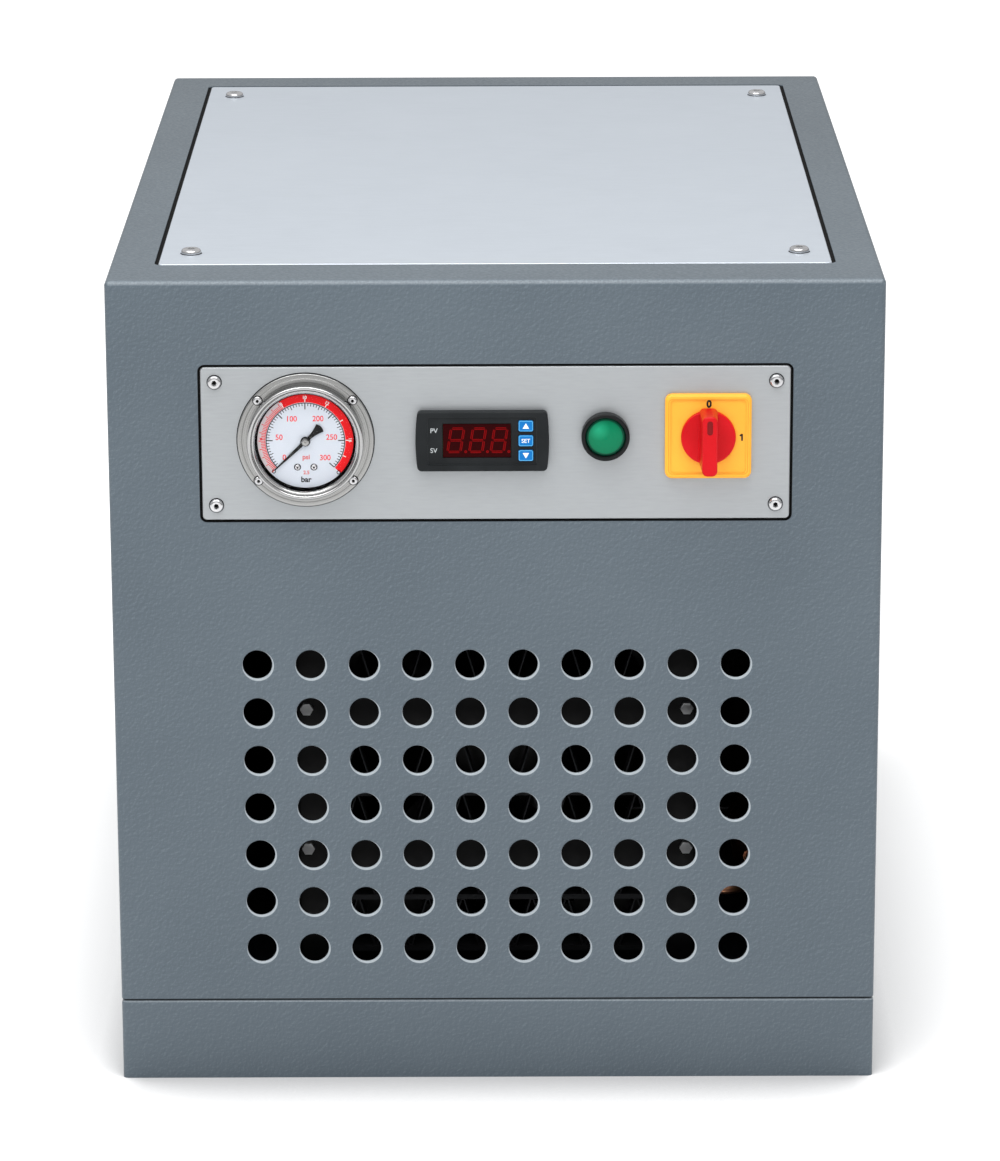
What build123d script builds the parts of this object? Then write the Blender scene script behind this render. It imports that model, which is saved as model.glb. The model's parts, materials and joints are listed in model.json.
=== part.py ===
import os
from math import atan2, cos, pi, sin, tan

from build123d import *

# Refrigerated compressed-air dryer, in millimetres.
# The origin is the centre of the base's footprint on the floor: +Z is up, and the controls face -Y.

# Cabinet
cabinet_width = 435.0
cabinet_depth = 638.0
cabinet_height = 473.0
base_height = 48.0
bend_radius = 3.0
base_bend_radius = 2.4
hood_sheet = 1.2
base_sheet = 2.0
hood_flange = 16.0
hood_foot_radius = 1.2
punched_edge = 0.8
base_lip = 24.0
floor_hole_radius = 4.5
floor_hole_inset = 60.0

# Top plate and the frame around it
top_frame_side = 25.2
top_frame_front = 42.4
top_frame_back = 34.0
top_plate_gap = 2.2
top_plate_sheet = 1.5
top_plate_radius = 2.5
top_plate_edge = 0.9
top_ledge = 24.0
top_screw_side = 17.0
top_screw_front = 29.0
top_screw_back = 35.0

# Grille of round holes in the front wall
grille_columns = 10
grille_rows = 7
grille_hole_radius = 9.2
grille_pitch_x = 30.15
grille_pitch_z = 28.42
grille_top_row = 250.4

# Control panel
panel_width = 330.0
panel_height = 88.2
panel_drop = 93.3
panel_thickness = 2.0
panel_gap = 1.5
panel_radius = 2.5
panel_edge = 0.9
panel_ledge_side = 16.0
panel_ledge_top = 11.5
panel_screw_side = 7.9
panel_screw_top = 8.5

# Rear panel with its outlets
rear_sheet = 1.2
rear_margin = 2.0
louvre_count = 9
louvre_width = 150.0
louvre_pitch = 18.0
louvre_opening = 7.0
louvre_reach = 5.5
louvre_x = 40.0
louvre_bottom = 120.0

# Screws: head radius, head height, shank radius and shank length
plate_screw = (5.75, 3.0, 2.5, 12.0)
panel_screw = (3.9, 2.2, 1.75, 9.0)
flange_screw = (2.5, 1.6, 1.2, 6.0)
dial_screw = (1.6, 0.8, 0.8, 3.0)
sheet_screw = (4.0, 3.0, 2.0, 8.0)
screw_clearance = 0.2

# Pressure gauge
gauge_x = -106.5
gauge_rise = 2.3
flange_radius = 38.3
flange_thickness = 1.6
flange_screw_circle = 35.2
flange_screw_angle = 41.0
gauge_case_radius = 30.0
gauge_case_wall = 1.6
gauge_case_depth = 32.0
gauge_rim_height = 5.4
gauge_bezel_radius = 32.6
gauge_bezel_lip = 28.2
gauge_bezel_height = 9.0
gauge_bezel_bead = 1.3
flange_edge = 0.5
glass_thickness = 1.6
dial_radius = 27.2
dial_thickness = 0.8
dial_front = 3.0
dial_screw_x = 4.6
dial_screw_z = -15.0
pointer_length = 24.0
pointer_rest_angle = 133.5
pointer_tail = 8.4
pointer_spade_radius = 2.9
pointer_hub_radius = 2.7
pointer_hub_height = 1.3
pointer_width = 2.2
pointer_tip_width = 0.6
pointer_clearance = 0.5
pointer_thickness = 0.5
arbor_radius = 1.0
arbor_length = 9.0
stem_radius = 6.5
stem_length = 18.0
running_clearance = 0.05
part_clearance = 0.3

# Temperature controller
controller_x = -7.5
controller_rise = 2.1
controller_width = 74.8
controller_height = 34.2
controller_bulge = 1.2
controller_reach = 5.5
controller_recess = 1.0
controller_skin = 1.2
controller_face_width = 61.5
controller_face_height = 27.8
controller_face_rise = 0.5
controller_radius = 2.6
controller_edge = 0.8
controller_face_radius = 1.5
case_width = 70.6
case_height = 28.6
case_depth = 60.0
case_wall = 1.5
board_thickness = 1.6
display_width = 38.0
display_height = 19.2
display_x = -3.0
key_width = 8.2
key_height = 6.3
key_pitch = 8.5
key_x = 24.4
key_radius = 1.0
key_proud = 0.7
key_travel = 0.8
key_shoulder = 0.7

# Pilot lamp
lamp_x = 61.5
lamp_rise = 4.4
lamp_bezel_radius = 13.5
lamp_bezel_height = 6.6
lamp_bezel_edge = 0.9
lamp_lens_radius = 11.1
lamp_lens_height = 5.6
lamp_lens_dome = 1.2
lamp_lens_edge = 0.9
lamp_seat = 2.0
lamp_barrel_radius = 10.6
lamp_barrel_wall = 1.4
lamp_barrel_length = 34.0
lamp_nut_radius = 15.0
lamp_nut_height = 5.0

# Rotary main switch
switch_x = 119.0
switch_rise = 4.2
switch_plate_size = 48.4
switch_plate_height = 3.6
switch_plate_bevel = 1.3
switch_plate_radius = 4.0
switch_field_size = 42.4
switch_field_depth = 0.6
knob_radius = 15.3
knob_disc_height = 3.2
knob_edge = 0.8
handle_length = 34.0
handle_width = 8.4
handle_foot_width = 10.4
handle_reach = 27.2
handle_round = 3.0
handle_edge = 0.6
marker_width = 3.2
marker_length = 8.0
marker_offset = 10.7
marker_depth = 1.0
switch_shaft_radius = 3.5
switch_shaft_length = 38.0
switch_body_size = 46.0
switch_body_depth = 42.0

# Condenser behind the grille
condenser_front = 32.0
condenser_depth = 20.0
condenser_low = 64.0
condenser_high = 292.0
header_x = 102.0
header_width = 20.0
flat_tube_count = 8
flat_tube_height = 3.0
fin_thickness = 0.8
fin_folds = 9
fin_crest = 1.5
bracket_sheet = 1.5
bracket_flange = 22.0
bracket_foot = 18.0
bracket_web = 6.0
rail_height = 28.0
rail_sheet = 1.5
rail_low = 131.2
rail_pitch = 84.4
bolt_x = 109.2
bolt_head_radius = 3.8
bolt_head_height = 3.6
bolt_shank_radius = 2.5
bolt_shank_length = 14.0

# Fan behind the condenser
fan_z = 178.0
shroud_front = 56.0
shroud_sheet = 1.2
shroud_size = 236.0
fan_ring_radius = 100.0
fan_ring_depth = 26.0
fan_blade_radius = 95.0
fan_blade_count = 5
fan_blade_width = 42.0
fan_blade_pitch = 32.0
fan_blade_thickness = 2.0
fan_blade_camber = 5.0
fan_hub_radius = 26.0
fan_hub_depth = 22.0
fan_hub_edge = 3.0
fan_shaft_radius = 4.0
fan_motor_radius = 38.0
fan_motor_depth = 48.0
spider_sheet = 3.0
spider_arm_width = 12.0
spider_arms = 4

# Compressor
compressor_side = 122.5
compressor_front = 331.0
compressor_radius = 72.0
compressor_height = 185.0
compressor_cap = 30.0
weld_seam = 2.0
foot_plate_size = 150.0
foot_plate_thickness = 3.0
foot_hole_pitch = 128.0
grommet_radius = 11.0
grommet_height = 12.0
foot_bolt_radius = 4.0
foot_bolt_head = 7.0
cover_width = 60.0
cover_depth = 24.0
cover_height = 70.0
cover_edge = 3.0

# Heat exchanger in its foam jacket, and the air connections
exchanger_side = 27.5
exchanger_back = 118.0
exchanger_width = 160.0
exchanger_length = 270.0
exchanger_low = 78.0
exchanger_high = 318.0
exchanger_radius = 12.0
stand_sheet = 2.0
port_pitch = 90.0
port_offset = -5.0
port_drop = 108.0
port_hex_radius = 17.0
port_hex_length = 22.0
port_barrel_radius = 13.0
port_barrel_length = 20.0
port_thread_radius = 9.3
port_thread_length = 15.0
port_nut_length = 7.0
air_pipe_radius = 11.0
air_pipe_bend = 34.0
air_pipe_back = 169.0

# Condensate drain and the electric inlet
drain_z = 100.0
drain_valve_size = (34.0, 46.0, 40.0)
drain_valve_below = 14.0
drain_valve_edge = 3.0
drain_coil_height = 24.0
drain_valve_gap = 40.0
drain_pipe_radius = 4.0
drain_hex_radius = 9.0
drain_hex_length = 12.0
drain_bore_radius = 3.0
gland_side = 77.5
gland_z = 110.0
gland_hex_radius = 12.0
gland_length = 18.0
gland_bore_radius = 4.5
terminal_box_side = 77.5
terminal_box_low = 190.0
terminal_box_size = (110.0, 56.0, 120.0)

# Copper pipes of the cold circuit
discharge_pipe_radius = 4.0
discharge_level = 320.0
liquid_pipe_radius = 3.0
liquid_side = 67.5
liquid_level = 100.0
suction_pipe_radius = 6.0
suction_level = 290.0
suction_offset = (20.0, 18.0)
gauge_line_radius = 2.0
gauge_line_back = 259.0
gauge_line_inset = 30.0
pipe_bend = 18.0
drier_radius = 10.0
drier_length = 90.0

front = -cabinet_depth / 2
back = cabinet_depth / 2
opening_side = cabinet_width / 2 - top_frame_side
opening_front = front + top_frame_front
opening_back = back - top_frame_back
gauge_back = -panel_thickness - gauge_case_depth

# Instruments hang from the top edge with the panel
panel_centre_z = cabinet_height - panel_drop
gauge_z = panel_centre_z + gauge_rise
controller_z = panel_centre_z + controller_rise
lamp_z = panel_centre_z + lamp_rise
switch_z = panel_centre_z + switch_rise

# Inner pieces keep their distance from the wall that they serve
compressor_x = -cabinet_width / 2 + compressor_side
compressor_y = front + compressor_front
exchanger_x = (cabinet_width / 2 - exchanger_side - exchanger_width, cabinet_width / 2 - exchanger_side)
exchanger_y = (back - exchanger_back - exchanger_length, back - exchanger_back)
drain_x = sum(exchanger_x) / 2
port_x = (drain_x + port_offset - port_pitch / 2, drain_x + port_offset + port_pitch / 2)
port_z = cabinet_height - port_drop
air_pipe_y = back - air_pipe_back
gland_x = -cabinet_width / 2 + gland_side
terminal_box_x = -cabinet_width / 2 + terminal_box_side
liquid_x = cabinet_width / 2 - liquid_side
gauge_line_x = exchanger_x[0] + gauge_line_inset
gauge_line_y = back - gauge_line_back
rail_levels = (rail_low, rail_low + rail_pitch)
bolt_hole_depth = 8 * (rail_sheet + bracket_sheet)
header_y = front + condenser_front + condenser_depth / 2
drier_start = (header_y + exchanger_y[0] - drier_length) / 2


def block(x_low, x_high, y_low, y_high, z_low, z_high):
    # A box between two corners
    centre = ((x_low + x_high) / 2, (y_low + y_high) / 2, (z_low + z_high) / 2)
    return Pos(*centre) * Box(x_high - x_low, y_high - y_low, z_high - z_low)


def facing_out(x, z, y=front, back_side=False):
    # Local Z points out of the front (or rear) wall, local Y up
    side = 1 if back_side else -1
    return Plane(origin=(x, y, z), x_dir=(-side, 0, 0), z_dir=(0, side, 0)).location


def disc(radius, low, high, x=0.0, y=0.0):
    return Pos(x, y, (low + high) / 2) * Cylinder(radius, high - low)


def ring(outer, inner, low, high, x=0.0, y=0.0):
    return disc(outer, low, high, x, y) - disc(inner, low, high, x, y)


def slab(width, height, low, high, radius=0.0, x=0.0, y=0.0):
    # A flat plate with rounded corners
    outline = RectangleRounded(width, height, radius) if radius else Rectangle(width, height)
    return Pos(x, y, low) * extrude(outline, high - low)


def hexagon(radius, low, high, x=0.0, y=0.0):
    return Pos(x, y, low) * extrude(RegularPolygon(radius, 6), high - low)


def turned(*outline):
    # A solid of revolution about local Z from (radius, height) points
    return revolve(make_face(Plane.XZ * Polyline(*outline, close=True)), Axis.Z)


def turned_profile(edges):
    # The same from a closed run of lines and arcs
    return revolve(make_face(Plane.XZ * (Curve() + edges)), Axis.Z)


def rounded_hole(radius, depth, edge):
    # A punched hole's cutter, flared to a rounded edge at local Z = 0
    inner = radius - edge
    middle = (radius - edge * cos(pi / 4), -edge + edge * sin(pi / 4))
    return turned_profile([
        Line((0, -depth), (inner, -depth)),
        Line((inner, -depth), (inner, -edge)),
        ThreePointArc((inner, -edge), middle, (radius, 0)),
        Line((radius, 0), (radius, edge)),
        Line((radius, edge), (0, edge)),
        Line((0, edge), (0, -depth)),
    ])


def group(pieces):
    return Compound(children=list(pieces))


def button_screw(size):
    # Domed head with a hexagon socket on local Z = 0, shank behind it
    head_radius, head_height, shank_radius, length = size
    crown = head_radius * 0.5
    skirt = head_height * 0.25
    shoulder = (head_radius * 0.86, head_height * 0.72)
    screw = turned_profile([
        Line((0, head_height), (crown, head_height)),
        ThreePointArc((crown, head_height), shoulder, (head_radius, skirt)),
        Line((head_radius, skirt), (head_radius, 0)),
        Line((head_radius, 0), (shank_radius, 0)),
        Line((shank_radius, 0), (shank_radius, -length)),
        Line((shank_radius, -length), (0, -length)),
        Line((0, -length), (0, head_height)),
    ])
    return screw - hexagon(crown * 0.9, head_height * 0.35, head_height + 1)


def hex_screw(head_radius, head_height, shank_radius, length):
    return hexagon(head_radius, 0, head_height) + disc(shank_radius, -length, 0)


def corners(x, y):
    return [(-x, -y), (x, -y), (-x, y), (x, y)]


def top_screw_places():
    side = opening_side - top_plate_gap - top_screw_side
    near = opening_front + top_plate_gap + top_screw_front
    far = opening_back - top_plate_gap - top_screw_back
    return [(-side, near), (side, near), (-side, far), (side, far)]


def panel_screw_places():
    return corners(panel_width / 2 - panel_screw_side, panel_height / 2 - panel_screw_top)


def flange_screw_places():
    angle = flange_screw_angle * pi / 180
    return corners(flange_screw_circle * cos(angle), flange_screw_circle * sin(angle))


def hood_screw_places():
    side = cabinet_width / 2 - hood_flange * 0.6
    return corners(side, cabinet_depth / 2 - floor_hole_inset * 1.6)


def rear_screw_places():
    # In the rear wall's X and Z
    side = cabinet_width / 2 - hood_flange * 0.6
    levels = (base_height + 40, (base_height + cabinet_height) / 2, cabinet_height - 30)
    return [(x, z) for x in (-side, side) for z in levels]


def compressor_bolt_places():
    half = foot_hole_pitch / 2
    return [(compressor_x + x, compressor_y + y) for x, y in corners(half, half)]


def base():
    # Folded tray, open underneath, with lips turned in along the floor
    tray = Pos(0, 0, base_height / 2) * Box(cabinet_width, cabinet_depth, base_height)
    tray = fillet(tray.edges().filter_by(Axis.Z), bend_radius)
    tray = fillet(tray.edges().group_by(Axis.Z)[-1], base_bend_radius)
    inner_x = cabinet_width / 2 - base_sheet
    inner_y = cabinet_depth / 2 - base_sheet
    tray -= block(-inner_x, inner_x, -inner_y, inner_y, base_sheet, base_height - base_sheet)
    lip_x = cabinet_width / 2 - base_lip
    lip_y = cabinet_depth / 2 - base_lip
    tray -= block(-lip_x, lip_x, -lip_y, lip_y, -1, base_sheet + 1)
    hole_x = cabinet_width / 2 - (base_lip + base_sheet) / 2
    hole_y = cabinet_depth / 2 - floor_hole_inset
    for x, y in corners(hole_x, hole_y):
        tray -= disc(floor_hole_radius, -1, base_sheet + 1, x, y)
    for x, y in hood_screw_places():
        tray -= disc(sheet_screw[2] + screw_clearance, base_height - 3 * base_sheet, base_height + 1, x, y)
    for x, y in compressor_bolt_places():
        tray -= disc(foot_bolt_radius + screw_clearance, base_height - 3 * base_sheet, base_height + 1, x, y)
    return tray


def top_ledge_ring():
    # The hood's sheet steps down by the plate's thickness and runs in under the plate
    mid = (opening_front + opening_back) / 2
    wide = 2 * opening_side
    long = opening_back - opening_front
    seat = cabinet_height - top_plate_sheet
    low = seat - hood_sheet
    corner = top_plate_radius + top_plate_gap
    rim = 2 * hood_sheet
    step = slab(wide + rim, long + rim, low, cabinet_height, corner + hood_sheet, y=mid)
    step -= slab(wide, long, seat, cabinet_height + 1, corner, y=mid)
    step -= slab(wide - 2 * top_ledge, long - 2 * top_ledge, low - 1, cabinet_height + 1, y=mid)
    for x, y in top_screw_places():
        step -= disc(plate_screw[2] + screw_clearance, low - 1, seat + 1, x, y)
    return step


def panel_ledge_ring():
    # The same step around the control panel's cut-out, here in the front wall's frame
    wide = panel_width + 2 * panel_gap
    tall = panel_height + 2 * panel_gap
    low = -panel_thickness - hood_sheet
    corner = panel_radius + panel_gap
    step = slab(wide + 2 * hood_sheet, tall + 2 * hood_sheet, low, 0, corner + hood_sheet)
    step -= slab(wide, tall, -panel_thickness, 1, corner)
    rim = step.faces().sort_by(Axis.Z)[-1].inner_wires()[0]
    step = fillet(rim.edges(), punched_edge)
    step -= slab(wide - 2 * panel_ledge_side, tall - 2 * panel_ledge_top, low - 1, 1)
    for x, y in panel_screw_places():
        step -= disc(panel_screw[2] + screw_clearance, low - 1, 1, x, y)
    return facing_out(0, panel_centre_z) * step


def grille_holes():
    middle = grille_top_row - (grille_rows - 1) * grille_pitch_z / 2
    hole = rounded_hole(grille_hole_radius, 3 * hood_sheet, punched_edge)
    places = GridLocations(grille_pitch_x, grille_pitch_z, grille_columns, grille_rows)
    return facing_out(0, middle) * Compound(children=[place * hole for place in places])


def hood():
    # One folded and welded cover: front wall, both sides, top frame and the flanges that hold them
    height = cabinet_height - base_height
    shell = Pos(0, 0, base_height + height / 2) * Box(cabinet_width, cabinet_depth, height)
    shell = fillet(shell.edges().filter_by(Axis.Z) + shell.edges().group_by(Axis.Z)[-1], bend_radius)
    shell = fillet(shell.edges().group_by(Axis.Z)[0], hood_foot_radius)
    side = cabinet_width / 2 - hood_sheet
    deep = cabinet_depth / 2 - hood_sheet
    hollow = block(-side, side, -deep, deep, base_height + hood_sheet, cabinet_height - hood_sheet)
    inside_bend = bend_radius - hood_sheet
    hollow = fillet(hollow.edges().filter_by(Axis.Z) + hollow.edges().group_by(Axis.Z)[-1], inside_bend)
    shell -= hollow
    flange_x = cabinet_width / 2 - hood_flange
    flange_y = cabinet_depth / 2 - hood_flange
    shell -= block(-flange_x, flange_x, -flange_y, back + 1, base_height - 1, base_height + 2 * hood_sheet)
    shell -= block(-flange_x, flange_x, deep - 1, back + 1, base_height - 1, cabinet_height - hood_flange)
    mid = (opening_front + opening_back) / 2
    opening = slab(2 * opening_side, opening_back - opening_front, cabinet_height - 2 * hood_sheet,
                   cabinet_height + 1, top_plate_radius + top_plate_gap, y=mid)
    shell -= opening
    shell += top_ledge_ring()
    cut_out = slab(panel_width + 2 * panel_gap, panel_height + 2 * panel_gap, -2 * hood_sheet, 1,
                   panel_radius + panel_gap)
    shell -= facing_out(0, panel_centre_z) * cut_out
    shell += panel_ledge_ring()
    shell -= grille_holes()
    for x, y in hood_screw_places():
        shell -= disc(sheet_screw[2] + screw_clearance, base_height - 1, base_height + 2 * hood_sheet, x, y)
    for x, z in rear_screw_places():
        hole = disc(sheet_screw[2] + screw_clearance, -2 * hood_sheet, 1)
        shell -= facing_out(x, z, back, True) * hole
    return shell


def hood_screws():
    # Driven up from under the base through the hood's bottom flange
    screw = Rot(180, 0, 0) * hex_screw(*sheet_screw)
    return group(Pos(x, y, base_height - base_sheet) * screw for x, y in hood_screw_places())


def top_plate():
    mid = (opening_front + opening_back) / 2
    wide = 2 * (opening_side - top_plate_gap)
    long = opening_back - opening_front - 2 * top_plate_gap
    plate = slab(wide, long, cabinet_height - top_plate_sheet, cabinet_height, top_plate_radius, y=mid)
    plate = fillet(plate.edges().group_by(Axis.Z)[-1], top_plate_edge)
    for x, y in top_screw_places():
        plate -= disc(plate_screw[2] + screw_clearance, cabinet_height - 5, cabinet_height + 1, x, y)
    return plate


def top_plate_screws():
    screw = button_screw(plate_screw)
    return group(Pos(x, y, cabinet_height) * screw for x, y in top_screw_places())


def control_panel():
    # Flat plate, flush in its cut-out, with a hole for each instrument
    plate = slab(panel_width, panel_height, -panel_thickness, 0, panel_radius)
    plate = fillet(plate.edges().group_by(Axis.Z)[-1], panel_edge)
    low = -2 * panel_thickness
    for x, y in panel_screw_places():
        plate -= disc(panel_screw[2] + screw_clearance, low, 1, x, y)
    rise = gauge_z - panel_centre_z
    plate -= disc(gauge_case_radius + part_clearance, low, 1, gauge_x, rise)
    for x, y in flange_screw_places():
        plate -= disc(flange_screw[2] + screw_clearance, low, 1, gauge_x + x, rise + y)
    cut_width = case_width + 2 * part_clearance
    cut_height = case_height + 2 * part_clearance
    plate -= slab(cut_width, cut_height, low, 1, x=controller_x, y=controller_z - panel_centre_z)
    plate -= disc(lamp_barrel_radius + part_clearance, low, 1, lamp_x, lamp_z - panel_centre_z)
    plate -= disc(switch_shaft_radius * 2, low, 1, switch_x, switch_z - panel_centre_z)
    return facing_out(0, panel_centre_z) * plate


def panel_screws():
    screw = button_screw(panel_screw)
    return group(facing_out(x, panel_centre_z + z) * screw for x, z in panel_screw_places())


def louvre_blade():
    # A lip turned out and down over each slot, in the rear wall's frame
    outline = Polyline(
        (0, louvre_opening),
        (rear_sheet, louvre_opening + rear_sheet),
        (rear_sheet + louvre_reach, rear_sheet),
        (rear_sheet + louvre_reach, 0),
        (rear_sheet, louvre_opening),
        close=True,
    )
    section = make_face(Plane.YZ * outline)
    return Pos(louvre_x - louvre_width / 2, back, 0) * extrude(section, louvre_width, dir=(1, 0, 0))


def rear_panel():
    wide = cabinet_width - 2 * rear_margin
    low = base_height + rear_margin
    tall = cabinet_height - rear_margin - low
    sheet = facing_out(0, low + tall / 2, back, True) * slab(wide, tall, 0, rear_sheet, bend_radius)
    for row in range(louvre_count):
        level = louvre_bottom + row * louvre_pitch
        sheet -= block(louvre_x - louvre_width / 2, louvre_x + louvre_width / 2,
                       back - 1, back + rear_sheet + 1, level, level + louvre_opening)
        sheet += Pos(0, 0, level) * louvre_blade()
    openings = [(x, port_z, port_barrel_radius + part_clearance) for x in port_x]
    openings.append((drain_x, drain_z, drain_pipe_radius * 1.5 + part_clearance))
    openings.append((gland_x, gland_z, gland_bore_radius * 1.8 + part_clearance))
    openings += [(x, z, sheet_screw[2] + screw_clearance) for x, z in rear_screw_places()]
    for x, z, radius in openings:
        sheet -= facing_out(x, z, back, True) * disc(radius, -1, rear_sheet + 1)
    return sheet


def rear_panel_screws():
    screw = hex_screw(*sheet_screw)
    seat = back + rear_sheet
    return group(facing_out(x, z, seat, True) * screw for x, z in rear_screw_places())


def at_gauge():
    return facing_out(gauge_x, gauge_z)


def gauge_flange():
    plate = disc(flange_radius, 0, flange_thickness)
    plate = fillet(plate.edges().group_by(Axis.Z)[-1], flange_edge)
    plate -= disc(gauge_case_radius + part_clearance, -1, flange_thickness + 1)
    for x, y in flange_screw_places():
        plate -= disc(flange_screw[2] + screw_clearance, -1, flange_thickness + 1, x, y)
    return at_gauge() * plate


def gauge_flange_screws():
    screw = button_screw(flange_screw)
    return group(at_gauge() * Pos(x, y, flange_thickness) * screw for x, y in flange_screw_places())


def gauge_case():
    # Deep cup with the threaded stem on its back
    inner = gauge_case_radius - gauge_case_wall
    end = gauge_back - stem_length
    cup = turned(
        (0, end),
        (stem_radius, end),
        (stem_radius, gauge_back),
        (gauge_case_radius, gauge_back),
        (gauge_case_radius, gauge_rim_height),
        (inner, gauge_rim_height),
        (inner, gauge_back + gauge_case_wall),
        (0, gauge_back + gauge_case_wall),
    )
    return at_gauge() * cup


def gauge_bezel():
    # Polished ring around the case that holds the glass: a round bead with a rolled lip inside
    seat = gauge_rim_height + glass_thickness
    inner = gauge_case_radius + part_clearance
    outer = gauge_bezel_radius
    bead = gauge_bezel_bead
    shoulder = gauge_bezel_height - bead
    lip = gauge_bezel_lip
    roll = bead / 2
    rim = turned_profile([
        Line((inner, flange_thickness), (outer, flange_thickness)),
        Line((outer, flange_thickness), (outer, shoulder)),
        ThreePointArc((outer, shoulder), (outer - bead, gauge_bezel_height), (outer - 2 * bead, shoulder)),
        Line((outer - 2 * bead, shoulder), (lip + roll, seat + roll)),
        ThreePointArc((lip + roll, seat + roll), (lip + roll * 0.3, seat + roll * 0.7), (lip, seat)),
        Line((lip, seat), (inner, seat)),
        Line((inner, seat), (inner, flange_thickness)),
    ])
    return at_gauge() * rim


def gauge_glass():
    return at_gauge() * disc(gauge_case_radius, gauge_rim_height, gauge_rim_height + glass_thickness)


def gauge_dial():
    low = dial_front - dial_thickness
    plate = ring(dial_radius, arbor_radius * 2, low, dial_front)
    for x in (-dial_screw_x, dial_screw_x):
        plate -= disc(dial_screw[2] + screw_clearance, low - 1, dial_front + 1, x, dial_screw_z)
    return at_gauge() * plate


def gauge_dial_screws():
    screw = button_screw(dial_screw)
    places = [(x, dial_screw_z) for x in (-dial_screw_x, dial_screw_x)]
    return group(at_gauge() * Pos(x, y, dial_front) * screw for x, y in places)


def gauge_movement():
    # Socket block on the case's back, with the arbor's bearing and the dial's support
    floor = gauge_back + gauge_case_wall
    top = dial_front - dial_thickness
    works = slab(18, 30, floor, top - 4, y=-6)
    works += slab(14, 8, top - 4, top, y=dial_screw_z)
    works -= disc(arbor_radius + running_clearance, floor + 6, top + 1)
    for x in (-dial_screw_x, dial_screw_x):
        works -= disc(dial_screw[2] + screw_clearance, top - 5, top + 1, x, dial_screw_z)
    return at_gauge() * works


def gauge_pointer():
    # Needle, spade-shaped tail, hub and arbor turned as one, at rest on the scale's zero
    low = dial_front + pointer_clearance
    waist = pointer_width / 2
    tip = pointer_tip_width / 2
    wide = pointer_spade_radius
    end = -pointer_tail - wide
    outline = [(-tip, pointer_length), (tip, pointer_length), (waist, 0), (-waist, 0)]
    blade = make_face(Polyline(*outline, close=True))
    right = Spline((waist, 0), (waist, -pointer_tail / 2), (wide, end))
    left = Spline((-wide, end), (-waist, -pointer_tail / 2), (-waist, 0))
    crown = ThreePointArc((wide, end), (0, end - wide / 3), (-wide, end))
    tail = make_face([right, crown, left, Line((-waist, 0), (waist, 0))])
    needle = Pos(0, 0, low) * extrude(blade + tail, pointer_thickness)
    hub = disc(pointer_hub_radius, low, low + pointer_hub_height)
    hub = fillet(hub.edges().group_by(Axis.Z)[-1], pointer_hub_height / 4)
    arbor = disc(arbor_radius, low - arbor_length, low)
    return at_gauge() * Rot(0, 0, pointer_rest_angle) * (needle + hub + arbor)


def at_controller():
    return facing_out(controller_x, controller_z)


def key_places():
    middle = controller_face_rise
    return {"key_up": middle + key_pitch, "key_set": middle, "key_down": middle - key_pitch}


def controller_outline(shrink=0.0):
    # Flat top and bottom, sides bowed out a little
    x = controller_width / 2 - controller_bulge - shrink
    y = controller_height / 2 - shrink
    bow = x + controller_bulge
    sides = [Line((-x, y), (x, y)), ThreePointArc((x, y), (bow, 0), (x, -y))]
    sides += [Line((x, -y), (-x, -y)), ThreePointArc((-x, -y), (-bow, 0), (-x, y))]
    face = make_face(Curve() + sides)
    return fillet(face.vertices(), controller_radius)


def controller_bezel():
    skin_front = controller_reach - controller_recess
    body = extrude(controller_outline(), controller_reach)
    body = fillet(body.faces().sort_by(Axis.Z)[-1].edges(), controller_edge)
    rise = controller_face_rise
    recess = slab(controller_face_width, controller_face_height, skin_front, controller_reach + 1,
                  controller_face_radius, y=rise)
    body -= recess
    pocket_width = case_width + part_clearance
    pocket_height = case_height + part_clearance
    body -= slab(pocket_width, pocket_height, -1, skin_front - controller_skin)
    gap = 2 * part_clearance
    body -= slab(display_width + gap, display_height + gap, -1, controller_reach, x=display_x, y=rise)
    for level in key_places().values():
        body -= slab(key_width + gap / 2, key_height + gap / 2, -1, controller_reach,
                     key_radius, key_x, level)
    return at_controller() * body


def controller_case():
    shell = slab(case_width, case_height, -case_depth, 0)
    hollow_width = case_width - 2 * case_wall
    hollow_height = case_height - 2 * case_wall
    shell -= slab(hollow_width, hollow_height, -case_depth + case_wall, 1)
    return at_controller() * shell


def controller_board():
    inset = 2 * part_clearance
    return at_controller() * slab(case_width - inset, case_height - inset, 0, board_thickness)


def controller_display():
    high = controller_reach - controller_recess - part_clearance
    screen = slab(display_width, display_height, board_thickness, high, x=display_x, y=controller_face_rise)
    return at_controller() * screen


def controller_key(level):
    # Cap with a shoulder behind the bezel's skin
    skin_front = controller_reach - controller_recess
    skin_back = skin_front - controller_skin
    low = board_thickness + key_travel + 0.1
    cap = slab(key_width, key_height, low, skin_front + key_proud, key_radius)
    cap = fillet(cap.edges().group_by(Axis.Z)[-1], key_proud / 3)
    shoulder = slab(key_width + 2 * key_shoulder, key_height + 2 * key_shoulder, low, skin_back - 0.1)
    return at_controller() * Pos(key_x, level, 0) * (cap + shoulder)


def at_lamp():
    return facing_out(lamp_x, lamp_z)


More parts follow.
